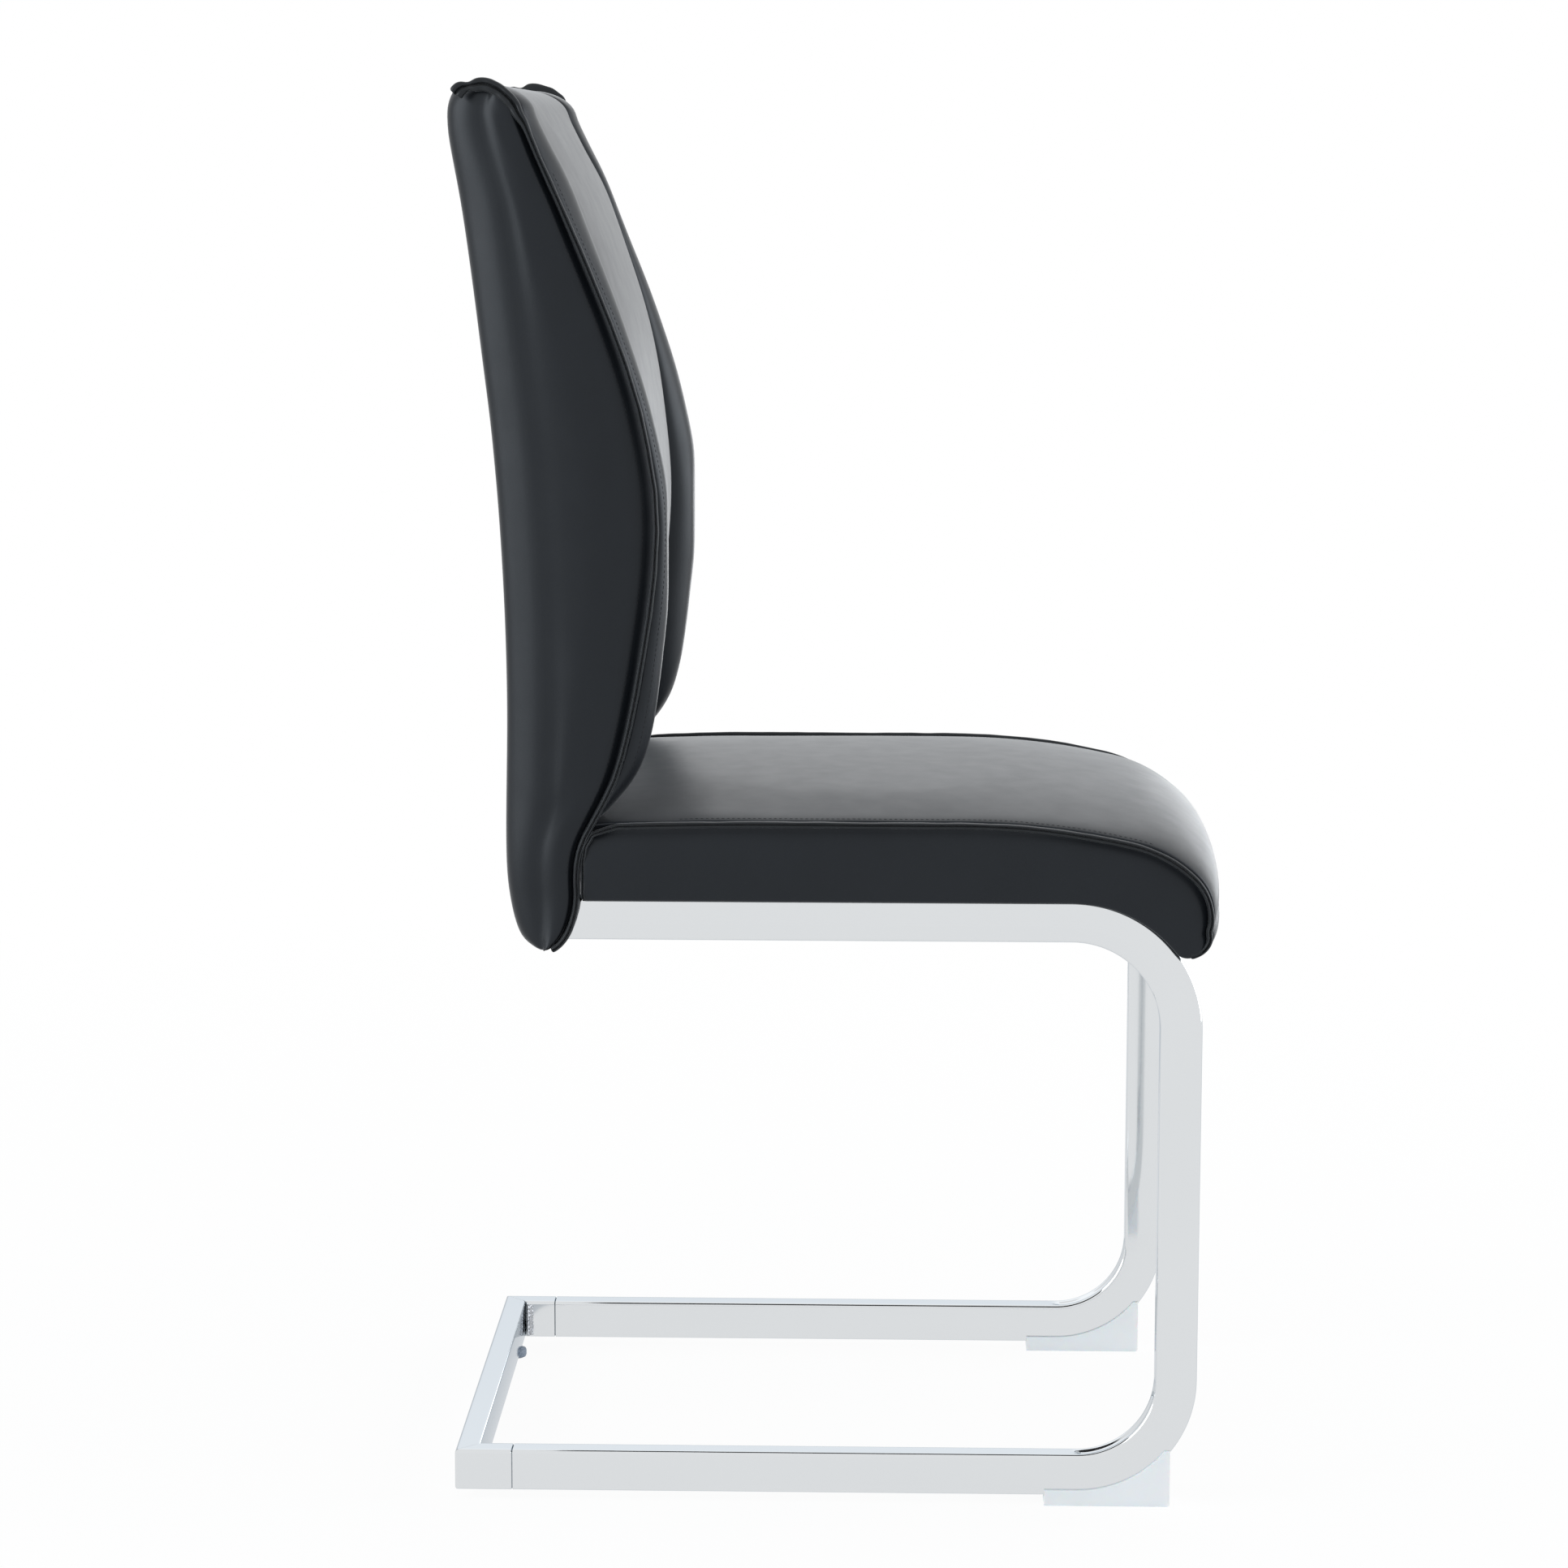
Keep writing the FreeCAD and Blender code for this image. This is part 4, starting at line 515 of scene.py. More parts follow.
def seat_path(bulge):
    """The side view of the seat's top at a share of its crown, from the foot of its rear to the
    end of its nose, and the rounded tip from there to the underside."""
    nose, run, heading = SEAT_NOSE + CROWN_REACH * bulge, 0.0, 0.0
    for radius, degrees, _, grow in NOSE_ARCS[:3]:
        radius += grow * bulge
        before, after = math.radians(heading), math.radians(heading + degrees)
        run += radius * (math.sin(after) - math.sin(before))
        heading += degrees
    top = RAIL_TOP + SEAT_EDGE + CROWN_RISE * bulge
    rise = (SEAT_REAR + 9.6, top - 2.4)
    spots = [(SEAT_REAR + 0.3, RAIL_TOP + 0.8), (SEAT_REAR, RAIL_TOP + 12),
             (SEAT_REAR, RAIL_TOP + 26), (SEAT_REAR, rise[1] - 10)]
    spots += turn(spots[-1], 90, 10.0, 87.5, 5)[0]
    level_start, level_end = SEAT_REAR + 118, nose - run
    for i in range(1, 9):
        share = i / 8
        spots.append((rise[0] + (level_start - rise[0]) * share,
                      rise[1] + (top - rise[1]) * (2 * share - share**2)))
    for i in range(1, 7):
        spots.append((level_start + (level_end - level_start) * i / 6, top))
    heading = 0.0
    for radius, degrees, count, grow in NOSE_ARCS:
        more, heading = turn(spots[-1], heading, radius + grow * bulge, degrees, count)
        spots += more
    tip, end = spots[-1], wrap_spot(WRAP)
    middle = ((tip[0] + end[0]) / 2, (tip[1] + end[1]) / 2)
    span = math.dist(tip, end) / 2
    along = ((end[0] - tip[0]) / (2 * span), (end[1] - tip[1]) / (2 * span))
    out = (-along[1], along[0])
    round_tip = []
    for i in range(1, TIP_STEPS):
        angle = math.pi * i / TIP_STEPS
        shift, drop = -span * math.cos(angle), span * 0.72 * math.sin(angle)
        round_tip.append((middle[0] + along[0] * shift + out[0] * drop,
                          middle[1] + along[1] * shift + out[1] * drop))
    return spots, round_tip


EDGE_PATH, EDGE_TIP = seat_path(0.0)


def under_path():
    """The underside's side view, one point for each row of the top."""
    bend_row = next(i for i, p in enumerate(EDGE_PATH) if p[0] > UPPER_CENTRE[0])
    run = [0.0]
    for a, b in zip(EDGE_PATH[bend_row:], EDGE_PATH[bend_row + 1:]):
        run.append(run[-1] + math.dist(a, b))
    spots = []
    for i, (forward, _) in enumerate(EDGE_PATH):
        if i < bend_row:
            spots.append((max(forward, SEAT_REAR + 0.3 + i * 0.4), RAIL_TOP + 0.4))
        else:
            spots.append(wrap_spot(WRAP * (run[i - bend_row] / run[-1]) ** 0.9))
    return spots


UNDER = under_path()
# Half a row: the top's x, the side band as (share of the way down, x), and the underside's x
TOP_X = [0, 24, 48, 72, 96, 118, 138, 156, 172, 185, 195, 202, 206.5, 209.5, 211.2]
BAND = [(0.05, 209.2), (0.11, 208.8), (0.18, 210.4), (0.27, 212.8), (0.40, 214.5), (0.55, 215.1),
        (0.70, 215.0), (0.83, 214.8), (0.93, 214.6), (1.0, 214.2)]
UNDER_X = [213.0, 206.0, 203.0, 150, 100, 50]
# Columns from the underside's middle to a seam, from seam to seam, and in a whole row
SKIRT = len(BAND) + len(UNDER_X)
ACROSS = 2 * (len(TOP_X) - 1)
ROW_COUNT = ACROSS + 1 + 2 * SKIRT + 1


def seat_crown(x):
    """The share of the crown at x: 1 in the middle and 0 at the seat's edge."""
    return max(1 - (x / CROWN_HALF) ** 2, 0.0) ** 0.52


def seat_row(tops, under):
    """One closed ring: up the right band, over the top, down the left band and back under."""
    half = [(x, *tops[i]) for i, x in enumerate(TOP_X)]
    edge = tops[-1]
    for share, x in BAND:
        half.append((x, edge[0] + (under[0] - edge[0]) * share,
                     edge[1] + (under[1] - edge[1]) * share))
    half += [(x, under[0], under[1] - (0.9 if x > FRAME_WIDTH / 2 else 0.0)) for x in UNDER_X]
    mirrored = [(-x, f, z) for x, f, z in reversed(half[1:])]
    return mirrored + half + [(0.0, *under)]


def seat_rows():
    """Rings from the seat's rear over its nose to the middle of its rounded tip."""
    paths = [seat_path(seat_crown(x)) for x in TOP_X]
    rows = []
    for i, under in enumerate(UNDER):
        rows.append(seat_row([path[i] for path, _ in paths], under))
    for i in range(TIP_STEPS // 2):
        rows.append(seat_row([tip[i] for _, tip in paths], EDGE_TIP[TIP_STEPS - 2 - i]))
    return rows


def inflate(piece, held, pressure, cap):
    """Swells the piece by cloth simulation. held has a weight from 0 (free) to 1 (stays) for each
    point, and cap is the furthest that a free one goes, in metres."""
    rest = [v.co.copy() for v in piece.data.vertices]
    normals = [v.normal.copy() for v in piece.data.vertices]
    group = piece.vertex_groups.new(name="held")
    for index, weight in held.items():
        if weight > 0:
            group.add([index], weight, "REPLACE")
    modifier = piece.modifiers.new("swell", "CLOTH")
    settings = modifier.settings
    settings.quality = 6
    settings.mass = 0.3
    settings.tension_stiffness = settings.compression_stiffness = 22
    settings.shear_stiffness = 12
    settings.bending_stiffness = 1.6
    settings.use_pressure = True
    settings.uniform_pressure_force = pressure
    settings.vertex_group_mass = "held"
    settings.pin_stiffness = 1.0
    settings.effector_weights.gravity = 0.0
    modifier.collision_settings.use_self_collision = False
    scene = bpy.context.scene
    scene.frame_start, scene.frame_end = 1, SWELL_FRAMES
    modifier.point_cache.frame_start, modifier.point_cache.frame_end = 1, SWELL_FRAMES
    for number in range(1, SWELL_FRAMES + 1):
        scene.frame_set(number)
    swollen = piece.evaluated_get(bpy.context.evaluated_depsgraph_get())
    moved = [v.co.copy() for v in swollen.to_mesh().vertices]
    swollen.to_mesh_clear()
    piece.modifiers.remove(modifier)
    for vertex, before, after, normal in zip(piece.data.vertices, rest, moved, normals):
        step = after - before
        step -= normal * min(step.dot(normal), 0.0)
        limit = cap * (1 - held.get(vertex.index, 0.0))
        if step.length > limit:
            step = step * (limit / step.length) if limit > 0 else Vector((0, 0, 0))
        vertex.co = before + step
    piece.data.update()
    scene.frame_set(1)


def pucker_seat(x, forward):
    """Small gathers of the seat's top, as a drop in millimetres."""
    near_edge = smooth(150, 205, abs(x))
    gathers = 3.2 * near_edge * (1 - smooth(118, 185, forward))
    drop = gathers * max(wobble(forward + 0.12 * x, 5, 9.0), 0)
    folds = 1.0 - smooth(110, 260, forward)
    drop += folds * wobble(forward, 8, 30.0) * wobble(x, 9, 55.0)
    return drop + 0.5 * near_edge * wobble(forward, 11, 26.0)


def seat_hold(row, rows, column, x, forward, height):
    """How firmly the cloth simulation holds a point of the seat."""
    if SKIRT <= column <= SKIRT + ACROSS:
        return max(smooth(196, 209, abs(x)), 1 - smooth(100, 135, forward),
                   1 - smooth(0, 3, rows - 5 - row))
    underneath = column < len(UNDER_X) or column >= ROW_COUNT - 1 - len(UNDER_X)
    if underneath or abs(x) < 209.6 and height < RAIL_TOP + 2:
        return 1.0
    down = min(abs(column - SKIRT), abs(column - SKIRT - ACROSS))
    return max(1 - smooth(1.5, 4.0, down) * (1 - smooth(8, 10, down)),
               1 - smooth(0, 3, rows - 4 - row), 1 - smooth(3, 6, row))


def build_seat():
    rows = seat_rows()
    points = []
    for row in rows:
        for x, forward, height in row:
            on_top = height > RAIL_TOP + 30 and abs(x) < 211
            points.append(at(x, forward, height - (pucker_seat(x, forward) if on_top else 0.0)))
    faces = skin(ROW_COUNT, len(rows), False)
    half = range(len(TOP_X) + SKIRT)
    for offset, flip in ((0, False), ((len(rows) - 1) * ROW_COUNT, True)):
        middle, under = offset + SKIRT + len(TOP_X) - 1, offset + ROW_COUNT - 1
        left = [middle + i for i in half] + [under]
        right = [middle - i for i in half] + [under]
        for face in (left, right[::-1]):
            faces.append(tuple(reversed(face)) if flip else tuple(face))
    piece = mesh_object("seat_cushion", points, faces, LEATHER)
    held = {}
    for r, row in enumerate(rows):
        for i, spot in enumerate(row):
            held[r * ROW_COUNT + i] = seat_hold(r, len(rows), i, *spot)
    inflate(piece, held, 3.2, 0.0025)
    subdivided(piece)
    finish_piece(piece, ["seat_cover", "seat_foam"])
    return piece


# Back: rows by height, columns round the rear, the side bands and the padded front

# How far forward the welt at the side and the middle of the rear are, by height
WELT = Line([(387, 66), (390.5, 73.5), (396, 79), (404, 83.6), (413, 86.4), (424, 88.6), (437, 88),
             (450, 88.8), (464, 92.4), (480, 100.5), (508, 114.6), (536, 122.8), (569, 130),
             (600, 135.2), (640, 141), (680, 143.6), (705, 142.4), (735, 137.6), (772, 129),
             (815, 114.4), (869, 91.8), (900, 78.6), (930, 65.0), (958, 53.6)])
REAR = Line([(387, 60), (390, 53.5), (395, 48.5), (403, 45.2), (414, 42.4), (432, 39.4),
             (448, 38.4), (476, 38.2), (550, 39.4), (600, 38.8), (642, 37.3), (687, 34.8),
             (721, 32.2), (754, 29.1), (788, 25.0), (833, 19.6), (866, 15.4), (899, 10.7),
             (930, 5.2), (946, 2.4), (958, 1.8)])
FRONT_X = [0, 28, 56, 84, 110, 132, 150, 162, 169, 173, 174.6, 175.4, 177, 180.5, 186, 192, 198,
           203.5, 207.5, 210.3, 211.6]
REAR_X = [0, 40, 80, 120, 150, 172, 186, 193]
# The seam between the front panel and a bolster
SEAM_X = 175.0
CORNER_STEPS, CORNER_RADIUS, SIDE_STEPS = 5, 34.0, 13
SIDES = CORNER_STEPS + SIDE_STEPS
# The left corner's first column: those of the rear come before it
LEFT_START = 2 * len(REAR_X) - 1
# The crest starts here and rises by this much. Its rows and the foot's are (height and) over, from
# 0 where the rounding starts to 1 at the very end. The foot uses a share of over
CREST_START, CREST_RISE, FOOT_SHARE = 958.0, 22.0, 0.55
FOOT_ROWS = ((387.3, 0.97), (388.6, 0.9), (391.8, 0.76), (396, 0.55), (402, 0.32), (409, 0.14),
             (416, 0.04))
CREST_OVERS = (0.0, 0.25, 0.45, 0.62, 0.76, 0.87, 0.95, 0.99)


def welt_relief(height, across):
    """How far the front stands ahead of the welt line, at a distance from the middle."""
    grow = smooth(440, 530, height)
    over_top = 1 - smooth(955, 978, height)
    seam = (-11.5 + 21.0 * smooth(690, 930, height)) * grow
    if across <= SEAM_X:
        panel = 4.0 * grow * over_top * (1 - 0.85 * smooth(790, 910, height))
        step = 2.4 * grow * (1 - 0.5 * smooth(800, 920, height))
        relief = seam + panel * (1 - (across / SEAM_X) ** 2.6)
        relief += step * smooth(0, 26, SEAM_X - across)
    else:
        away = min(abs(height - 735) / 190, 1.0)
        ridge = (6.8 + 6.4 * away * away) * grow * (0.35 + 0.65 * over_top)
        fuller = (1 - smooth(640, 860, height)) * smooth(465, 520, height)
        ridge += 6.0 * fuller - 3.0 * smooth(830, 905, height)
        share = (across - SEAM_X) / (HALF - 3.0 - SEAM_X)
        bulge = math.sin(math.pi * min(share, 1)) ** 0.62
        relief = seam * (1 - smooth(0, 1, share)) + (ridge - 0.5 * seam * (1 - share)) * bulge
    relief -= 1.8 * grow * math.exp(-(((across - SEAM_X) / 0.9) ** 2))
    drawn = min(1.0, (HALF - 3.0 - across) / 30)
    return relief - 5.5 * smooth(905, 962, height) * max(drawn, 0.0)


def seat_clearance(height, x, depth):
    """Keeps the cushion behind the seat's rear below the seat, and lets it overhang above."""
    if abs(x) > 211:
        return depth
    top = RAIL_TOP + SEAT_EDGE - 3.0 + 13.0 * seat_crown(x)
    return min(depth, SEAT_REAR - 1.5 + 60 * smooth(top - 4, top + 7, height))


def side_out(share, height):
    """How far out the side band stands between its rear corner (0) and the welt (1)."""
    full = smooth(400, 520, height) * (1 - smooth(900, 972, height))
    belly = math.sin(math.pi * min(share * 1.08, 1.0)) ** 0.8
    tuck = 5.4 * smooth(0.84, 1.0, share)
    roll = 3.6 * (1 - share) ** 2.4
    return HALF - 3.2 + (1.4 + 1.5 * full) * belly - tuck - roll


def back_row(height, over=0.0, lift=0.0):
    """A closed ring at a height, rear first. over, from 0 to 1, rounds it to its crest or foot."""
    squeeze = 1 - math.sqrt(1 - over * over)
    rear, welt = REAR(height) + 13.0 * squeeze, WELT(height)
    front_shift = (36.0 if height > 900 else 13.0) * squeeze
    radius = min(CORNER_RADIUS, 0.5 * (welt - REAR(height)))
    ring = [(x, rear, height + lift) for x in [-x for x in reversed(REAR_X[1:])] + REAR_X]
    corner = []
    for step in range(1, CORNER_STEPS + 1):
        angle = math.radians(90 / CORNER_STEPS * step)
        corner.append((REAR_X[-1] + (HALF - 6.8 - REAR_X[-1]) * math.sin(angle),
                       rear + radius * (1 - math.cos(angle))))
    rear_edge = corner[-1][1]
    front_edge = max(welt - front_shift * 0.9 - 1.8, rear_edge + 0.6)
    band = []
    for step in range(1, SIDE_STEPS + 1):
        share = (step / SIDE_STEPS) ** 0.82
        band.append((side_out(share, height), rear_edge + (front_edge - rear_edge) * share))
    left = [(x, f, height + lift * 0.86) for x, f in corner + band]
    for x in reversed(FRONT_X):
        depth = welt + welt_relief(height, x) - front_shift
        left.append((x, seat_clearance(height, x, depth), height + lift))
    return ring + left + [(-x, f, z) for x, f, z in reversed(left[:-1])]


def back_rows():
    """Rings from the foot to the crest."""
    rows = [back_row(height, over * FOOT_SHARE) for height, over in FOOT_ROWS]
    height = 424.0
    while height < 950:
        rows.append(back_row(height))
        height += 6.0 if 440 < height < 500 else 10.5
    return rows + [back_row(CREST_START, over, CREST_RISE * over) for over in CREST_OVERS]


def rough_back(x, forward, height):
    """A point of the back with the unevenness of soft leather."""
    if forward > REAR(height) + 25 and abs(x) < 211:
        forward += 0.7 * wobble(height, 2, 45.0) * wobble(x, 6, 60.0)
    if abs(x) > 206:
        wave = math.copysign(0.7 * wobble(height * 0.6 + forward, 4, 40.0), x)
        x += wave * smooth(206, 212, abs(x))
        x += math.copysign(0.8 * wobble(height, 14, 6.0) * smooth(930, 965, height), x)
    return at(x, forward, height)


def back_hold(column, count, low, x, forward, height):
    """How firmly the cloth simulation holds a point of the back, away from its ends."""
    across = abs(x)
    if LEFT_START + SIDES <= column < count - SIDES:
        to_seam = min(abs(across - SEAM_X) / 14, abs(across - 211.5) / 9)
        return max(1 - smooth(0.15, 1.0, to_seam), low)
    if across > 200:
        return 1 - smooth(0.1, 1.0, abs(forward - WELT(height)) / 14)
    return 0.35


def build_back():
    rows = back_rows()
    count = len(rows[0])
    points = [rough_back(*spot) for row in rows for spot in row]
    faces = skin(count, len(rows), False)
    for offset, flip in ((0, True), ((len(rows) - 1) * count, False)):
        rear_middle = offset + len(REAR_X) - 1
        front_middle = offset + LEFT_START + SIDES + len(FRONT_X) - 1
        left = list(range(rear_middle, front_middle + 1))
        right = [rear_middle - i for i in range(len(REAR_X))]
        right += list(range(offset + count - 1, front_middle - 1, -1))
        for face, turn_over in ((left, flip), (right, not flip)):
            faces.append(tuple(reversed(face)) if turn_over else tuple(face))
    piece = mesh_object("back_cushion", points, faces, LEATHER)
    held = {}
    for r, row in enumerate(rows):
        ends = max(1 - smooth(4, 10, r), 1 - smooth(3, 9, len(rows) - 1 - r))
        low = 1 - smooth(480, 520, row[0][2])
        for i, spot in enumerate(row):
            held[r * count + i] = max(back_hold(i, count, low, *spot), ends)
    inflate(piece, held, 3.0, 0.003)
    subdivided(piece)
    finish_piece(piece, ["back_cover", "back_foam"])
    return piece


seat = build_seat()
back = build_back()


# Seams that stand proud: two folded layers of leather with a groove between them

# The folded seam's section as (across the seam, x), and the pitch of its rings along the seam
FLANGE = [(-2.3, 208.5), (-2.25, 212.4), (-2.05, 214.0), (-1.6, 214.9), (-1.0, 215.2),
          (-0.45, 214.8), (-0.2, 213.7), (-0.05, 212.0), (0.15, 212.0), (0.3, 213.4), (0.6, 214.3),
          (1.1, 214.7), (1.6, 214.4), (1.95, 213.4), (2.1, 211.8), (2.1, 208.5)]
FLANGE_PITCH = 2.6


def walk(spots, length):
    """Finds (index, share) of a place along spots, for lengths that only grow."""
    run = [0.0]
    for a, b in zip(spots, spots[1:]):
        run.append(run[-1] + length(a, b))
    i = 0

    def find(want):
        nonlocal i
        while i < len(run) - 2 and run[i + 1] < want:
            i += 1
        return i, (want - run[i]) / max(run[i + 1] - run[i], 1e-9)

    return run[-1], find


def resample(spots, pitch):
    """The same path with points at an even pitch."""
    total, find = walk(spots, math.dist)
    count = max(2, round(total / pitch))
    made = []
    for k in range(count + 1):
        i, share = find(total * k / count)
        made.append((spots[i][0] + (spots[i + 1][0] - spots[i][0]) * share,
                     spots[i][1] + (spots[i + 1][1] - spots[i][1]) * share))
    return made


def add_flange(name, side, spots, nodes, seed, lip, rise, hand):
    """Sweeps the folded seam along (forward, height) spots. lip gives (thicker, crinkle) at a
    spot, and hand is 1 where the pad lies to the left of the path."""
    path = resample(spots, FLANGE_PITCH)
    rings = []
    for i, (forward, height) in enumerate(path):
        before, after = path[max(i - 1, 0)], path[min(i + 1, len(path) - 1)]
        run = math.dist(before, after)
        along = ((after[0] - before[0]) / run, (after[1] - before[1]) / run)
        out = (hand * along[1], -hand * along[0])
        place = i * FLANGE_PITCH
        thick, crinkle = lip(forward, height)
        shift = rise + 0.28 * wobble(place, seed, 34.0)
        shift += 1.6 * crinkle * wobble(place, seed + 1, 7.0)
        spread = 0.3 * wobble(place, seed + 2, 22.0) + 1.5 * crinkle * wobble(place, seed + 3, 5.0)
        ring = []
        for across, x in FLANGE:
            across = across * thick * (1 + 0.12 * wobble(place, seed + 4, 15.0)) + shift
            x += spread if x > 211 else 0.0
            ring.append(at(side * x, forward + out[0] * across, height + out[1] * across))
        rings.append(ring if side * hand > 0 else ring[::-1])
    piece = mesh_object(name, *lofted(rings), LEATHER_EDGE)
    subdivided(piece)
    finish_piece(piece, nodes)


def top_lip(forward, height):
    """The back's seam gathers into a thick crinkled lip over the top, with a notch in it."""
    over = smooth(940, 972, height)
    notch = 1 - 0.62 * math.exp(-(((forward - 19.0) / 2.6) ** 2))
    tab = 1 + 0.35 * (1 - smooth(12, 18, forward))
    return 1 + 1.05 * over * notch * tab - 0.5 * over * (1 - notch), over


def far_top_lip(forward, height):
    """The far seam of the back folds into a taller hump."""
    thick, crinkle = top_lip(forward, height)
    return thick * (1 + 0.7 * smooth(955, 972, height)), crinkle


def seat_lip(forward, height):
    """The seat's seam gathers a little at the rear."""
    low = 1 - smooth(112, 130, forward)
    return 1 - 0.12 * low, 0.45 * low


def far_seat_lip(forward, height):
    """The far seam of the seat stands up more than the near one."""
    thick, crinkle = seat_lip(forward, height)
    return thick * (1 + 0.35 * smooth(110, 135, forward)), crinkle


WELT_HEIGHTS = (389, 391, 394, 398, 403, 410, 418, 428, 438, 448, 458, 468, 480, 494, 508, 524, 544,
                568, 594, 622, 650, 678, 706, 734, 762, 790, 818, 846, 874, 902, 930, 952)
welt_spots = [(WELT(z), z) for z in WELT_HEIGHTS]
welt_spots += [(49.6, 962.5), (45.0, 969.8), (39.0, 975.0), (32.5, 977.8), (26.0, 978.6),
               (20.0, 977.9), (15.5, 976.6), (12.0, 974.6), (9.5, 971.5)]
seat_spots = [(SEAT_REAR - 0.2, RAIL_TOP + 0.6), (SEAT_REAR - 0.4, RAIL_TOP + 12),
              (SEAT_REAR - 0.4, RAIL_TOP + 26), (SEAT_REAR + 1.2, RAIL_TOP + 38),
              (SEAT_REAR + 5.5, RAIL_TOP + 46.5)]
seat_spots += EDGE_PATH[9:] + EDGE_TIP[:8]
for side, name, back_lip, edge_lip, edge_rise in (
        (-1, "right", top_lip, seat_lip, -0.6), (1, "left", far_top_lip, far_seat_lip, 3.0)):
    add_flange(f"back_seam_{name}", side, welt_spots, [f"back_welt_{name}"], 20 + side, back_lip,
               0.4, 1)
    add_flange(f"seat_seam_{name}", side, seat_spots, [f"seat_piping_{name}"], 30 + side, edge_lip,
               edge_rise, -1)


# Stitches: short lengths of thread that sit on the leather

STITCH_LENGTH, STITCH_SIDES = 2.3, 6
# A stitch in rings: share of its length, width, and how deep it sinks into the leather
STITCH_RINGS = ((-0.5, 0.35, 0.25), (-0.3, 1.0, -0.05), (0.3, 1.0, -0.05), (0.5, 0.35, 0.25))


def surface_of(piece):
    return BVHTree.FromObject(piece, bpy.context.evaluated_depsgraph_get())


def add_stitches(name, stitches, thickness):
    """stitches are (point, direction, normal) in metres, thickness is in millimetres."""
    threads = []
    for point, along, normal in stitches:
        across = along.cross(normal).normalized()
        rings = []
        for share, width, sink in STITCH_RINGS:
            ring = []
            for k in range(STITCH_SIDES):
                angle = 2 * math.pi * k / STITCH_SIDES
                offset = (across * math.cos(angle) * width
                          + normal * (math.sin(angle) * width * 0.7 - sink))
                ring.append(point + along * (share * STITCH_LENGTH / 1000)
                            + offset * (thickness / 2000))
            rings.append(ring)
        threads.append(lofted(rings))
    finish_piece(mesh_object(name, *joined(threads), THREAD), ())


def stitch_row(surface, spots, pitch):
    """Stitches at an even pitch along spots, laid on the surface."""
    total, find = walk(spots, lambda a, b: (b - a).length * 1000)
    row, want = [], pitch
    while want < total - pitch:
        i, share = find(want)
        found, normal, _, _ = surface.find_nearest(spots[i].lerp(spots[i + 1], share), 0.02)
        if found is not None:
            row.append((found, (spots[i + 1] - spots[i]).normalized(), normal))
        want += pitch
    return row


SEAM_PITCH, EDGE_PITCH = 3.4, 3.6
# The stitched lines' x: on the panel beside its seam, on the bolster and on the seat at the edge
PANEL_STITCH_X, BOLSTER_STITCH_X, SEAT_STITCH_X = SEAM_X - 1.9, 207.5, 206.8
back_surface, seat_surface = surface_of(back), surface_of(seat)
seam_stitches, edge_stitches = [], []
for side in (-1, 1):
    line = [at(side * PANEL_STITCH_X, WELT(z) + welt_relief(z, PANEL_STITCH_X), z)
            for z in range(500, 956, 6)]
    seam_stitches += stitch_row(back_surface, line, SEAM_PITCH)
    line = [at(side * (HALF - 1.0), WELT(z) - 6.2, z) for z in range(440, 940, 6)]
    edge_stitches += stitch_row(back_surface, line, EDGE_PITCH)
    line = [at(side * BOLSTER_STITCH_X, WELT(z) + welt_relief(z, BOLSTER_STITCH_X), z)
            for z in range(480, 930, 6)]
    edge_stitches += stitch_row(back_surface, line, EDGE_PITCH)
    line = [at(side * SEAT_STITCH_X, f, z + 2.5) for f, z in EDGE_PATH[12:34]]
    edge_stitches += stitch_row(seat_surface, line, EDGE_PITCH)
add_stitches("seam_stitches", seam_stitches, 0.62)
add_stitches("edge_stitches", edge_stitches, 0.5)


# Camera, floor and light

# The camera that was fitted to the photograph: its place in millimetres and where it looks
CAMERA_SPOT = (-3099.3, 301.5, 935.6)
CAMERA_LOOKS, CAMERA_UP = (0.98881, 0.02408, -0.14721), (0.14712, 0.00568, 0.98910)
LENS_MM, SENSOR_MM = 97.83, 36.0
FLOOR_REACH = 30.0
ROOM_COLOUR, ROOM_STRENGTH = (0.96, 0.98, 1.0, 1), 0.66
# Name, place, target, size, power and colour of the lights
LIGHTS = (
    ("front", (0.4, -3.0, 0.9), (0, 0, 0.6), (2.2, 2.4), 66, (0.94, 0.97, 1)),
    ("far_side", (2.8, 0.4, 1.5), (0, 0, 0.6), (2.4, 2.0), 5, (0.94, 0.97, 1)),
    ("rear", (-1.4, 2.6, 1.3), (0, 0, 0.6), (1.8, 2.2), 48, (0.96, 0.98, 1)),
    ("low_side", (2.8, -1.15, 0.45), (0, -0.25, 0.4), (1.1, 0.9), 8, (0.94, 0.97, 1)),
)


def make_camera():
    data = bpy.data.cameras.new("camera")
    data.lens = LENS_MM
    data.sensor_width = SENSOR_MM
    data.clip_start, data.clip_end = 0.1, 50.0
    camera = new_object("camera", data)
    looking = Vector(CAMERA_LOOKS)
    right = looking.cross(Vector(CAMERA_UP)).normalized()
    upward = right.cross(looking).normalized()
    turned = Matrix((right, upward, -looking)).transposed().to_4x4()
    camera.matrix_world = Matrix.Translation(at(*CAMERA_SPOT)) @ turned
    bpy.context.scene.camera = camera


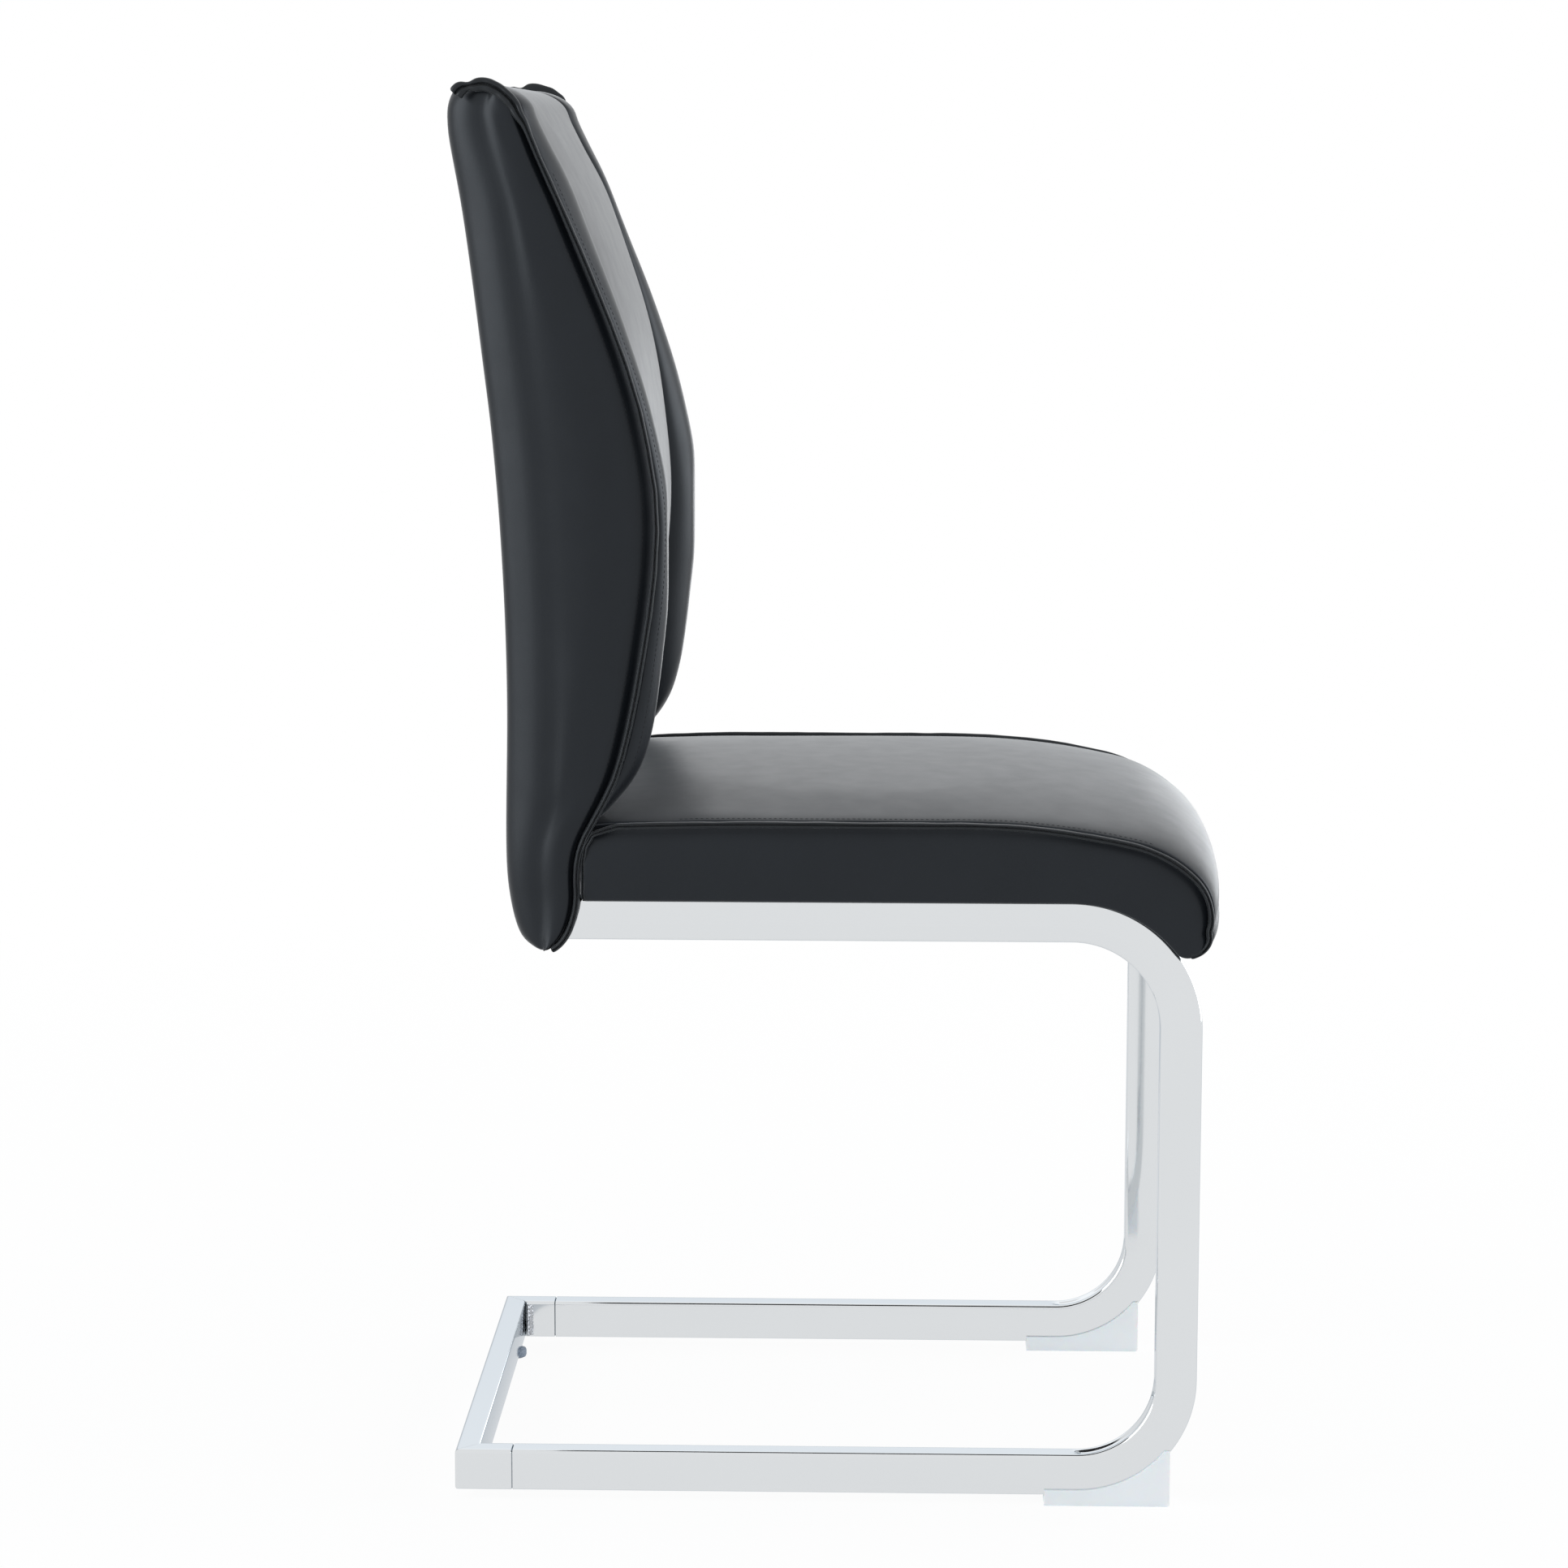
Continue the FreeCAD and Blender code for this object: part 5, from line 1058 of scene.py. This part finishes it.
def seen_share(tree, share):
    """share for camera, glossy and transmission rays, and 0 for every other ray."""
    path = tree.nodes.new("ShaderNodeLightPath")
    seen = path.outputs["Is Camera Ray"]
    for name in ("Is Glossy Ray", "Is Transmission Ray"):
        either = tree.nodes.new("ShaderNodeMath")
        either.operation = "MAXIMUM"
        tree.links.new(seen, either.inputs[0])
        tree.links.new(path.outputs[name], either.inputs[1])
        seen = either.outputs[0]
    part = tree.nodes.new("ShaderNodeMath")
    part.operation = "MULTIPLY"
    tree.links.new(seen, part.inputs[0])
    if isinstance(share, float):
        part.inputs[1].default_value = share
    else:
        tree.links.new(share, part.inputs[1])
    return part.outputs[0]


def mix_shaders(tree, factor, first, second, output):
    mix = tree.nodes.new("ShaderNodeMixShader")
    tree.links.new(factor, mix.inputs["Fac"])
    tree.links.new(first.outputs[0], mix.inputs[1])
    tree.links.new(second.outputs[0], mix.inputs[2])
    tree.links.new(mix.outputs[0], output.inputs["Surface"])


def make_floor():
    """A white floor that keeps a faint shadow near the chair."""
    made, tree, bsdf = material("floor_white")
    put(bsdf, {"Base Color": (0.92, 0.92, 0.92, 1), "Roughness": 0.9, "Specular IOR Level": 0.0})
    white = tree.nodes.new("ShaderNodeEmission")
    put(white, {"Strength": 1.0})
    place = tree.nodes.new("ShaderNodeTexCoord")
    away = tree.nodes.new("ShaderNodeVectorMath")
    away.operation = "LENGTH"
    tree.links.new(place.outputs["Object"], away.inputs[0])
    fade = ramp(tree, away.outputs["Value"], 0.5, 2.2, 0.93, 1.0)
    mix_shaders(tree, seen_share(tree, fade), bsdf, white, tree.nodes["Material Output"])
    far = FLOOR_REACH
    corners = [(-far, -far, 0), (far, -far, 0), (far, far, 0), (-far, far, 0)]
    floor = mesh_object("floor", corners, [(0, 1, 2, 3)], made, False)


def make_world():
    """A bright room for the light on the chair, and plain white behind it."""
    world = bpy.data.worlds.new("studio")
    bpy.context.scene.world = world
    world.use_nodes = True
    tree = world.node_tree
    tree.nodes.clear()
    room = tree.nodes.new("ShaderNodeBackground")
    put(room, {"Color": ROOM_COLOUR, "Strength": ROOM_STRENGTH})
    white = tree.nodes.new("ShaderNodeBackground")
    put(white, {"Color": (1, 1, 1, 1), "Strength": 1.0})
    output = tree.nodes.new("ShaderNodeOutputWorld")
    mix_shaders(tree, seen_share(tree, 1.0), room, white, output)


def add_light(name, place, target, size, power, colour):
    data = bpy.data.lights.new(name, "AREA")
    data.shape = "RECTANGLE"
    data.size, data.size_y = size
    data.energy = power
    data.color = colour
    lamp = new_object(name, data)
    lamp.location = place
    lamp.rotation_euler = (Vector(target) - Vector(place)).to_track_quat("-Z", "Y").to_euler()
    lamp.visible_camera = False


make_camera()
make_floor()
make_world()
for light in LIGHTS:
    add_light(*light)

bpy.context.scene.view_settings.view_transform = "Standard"
bpy.context.view_layer.update()
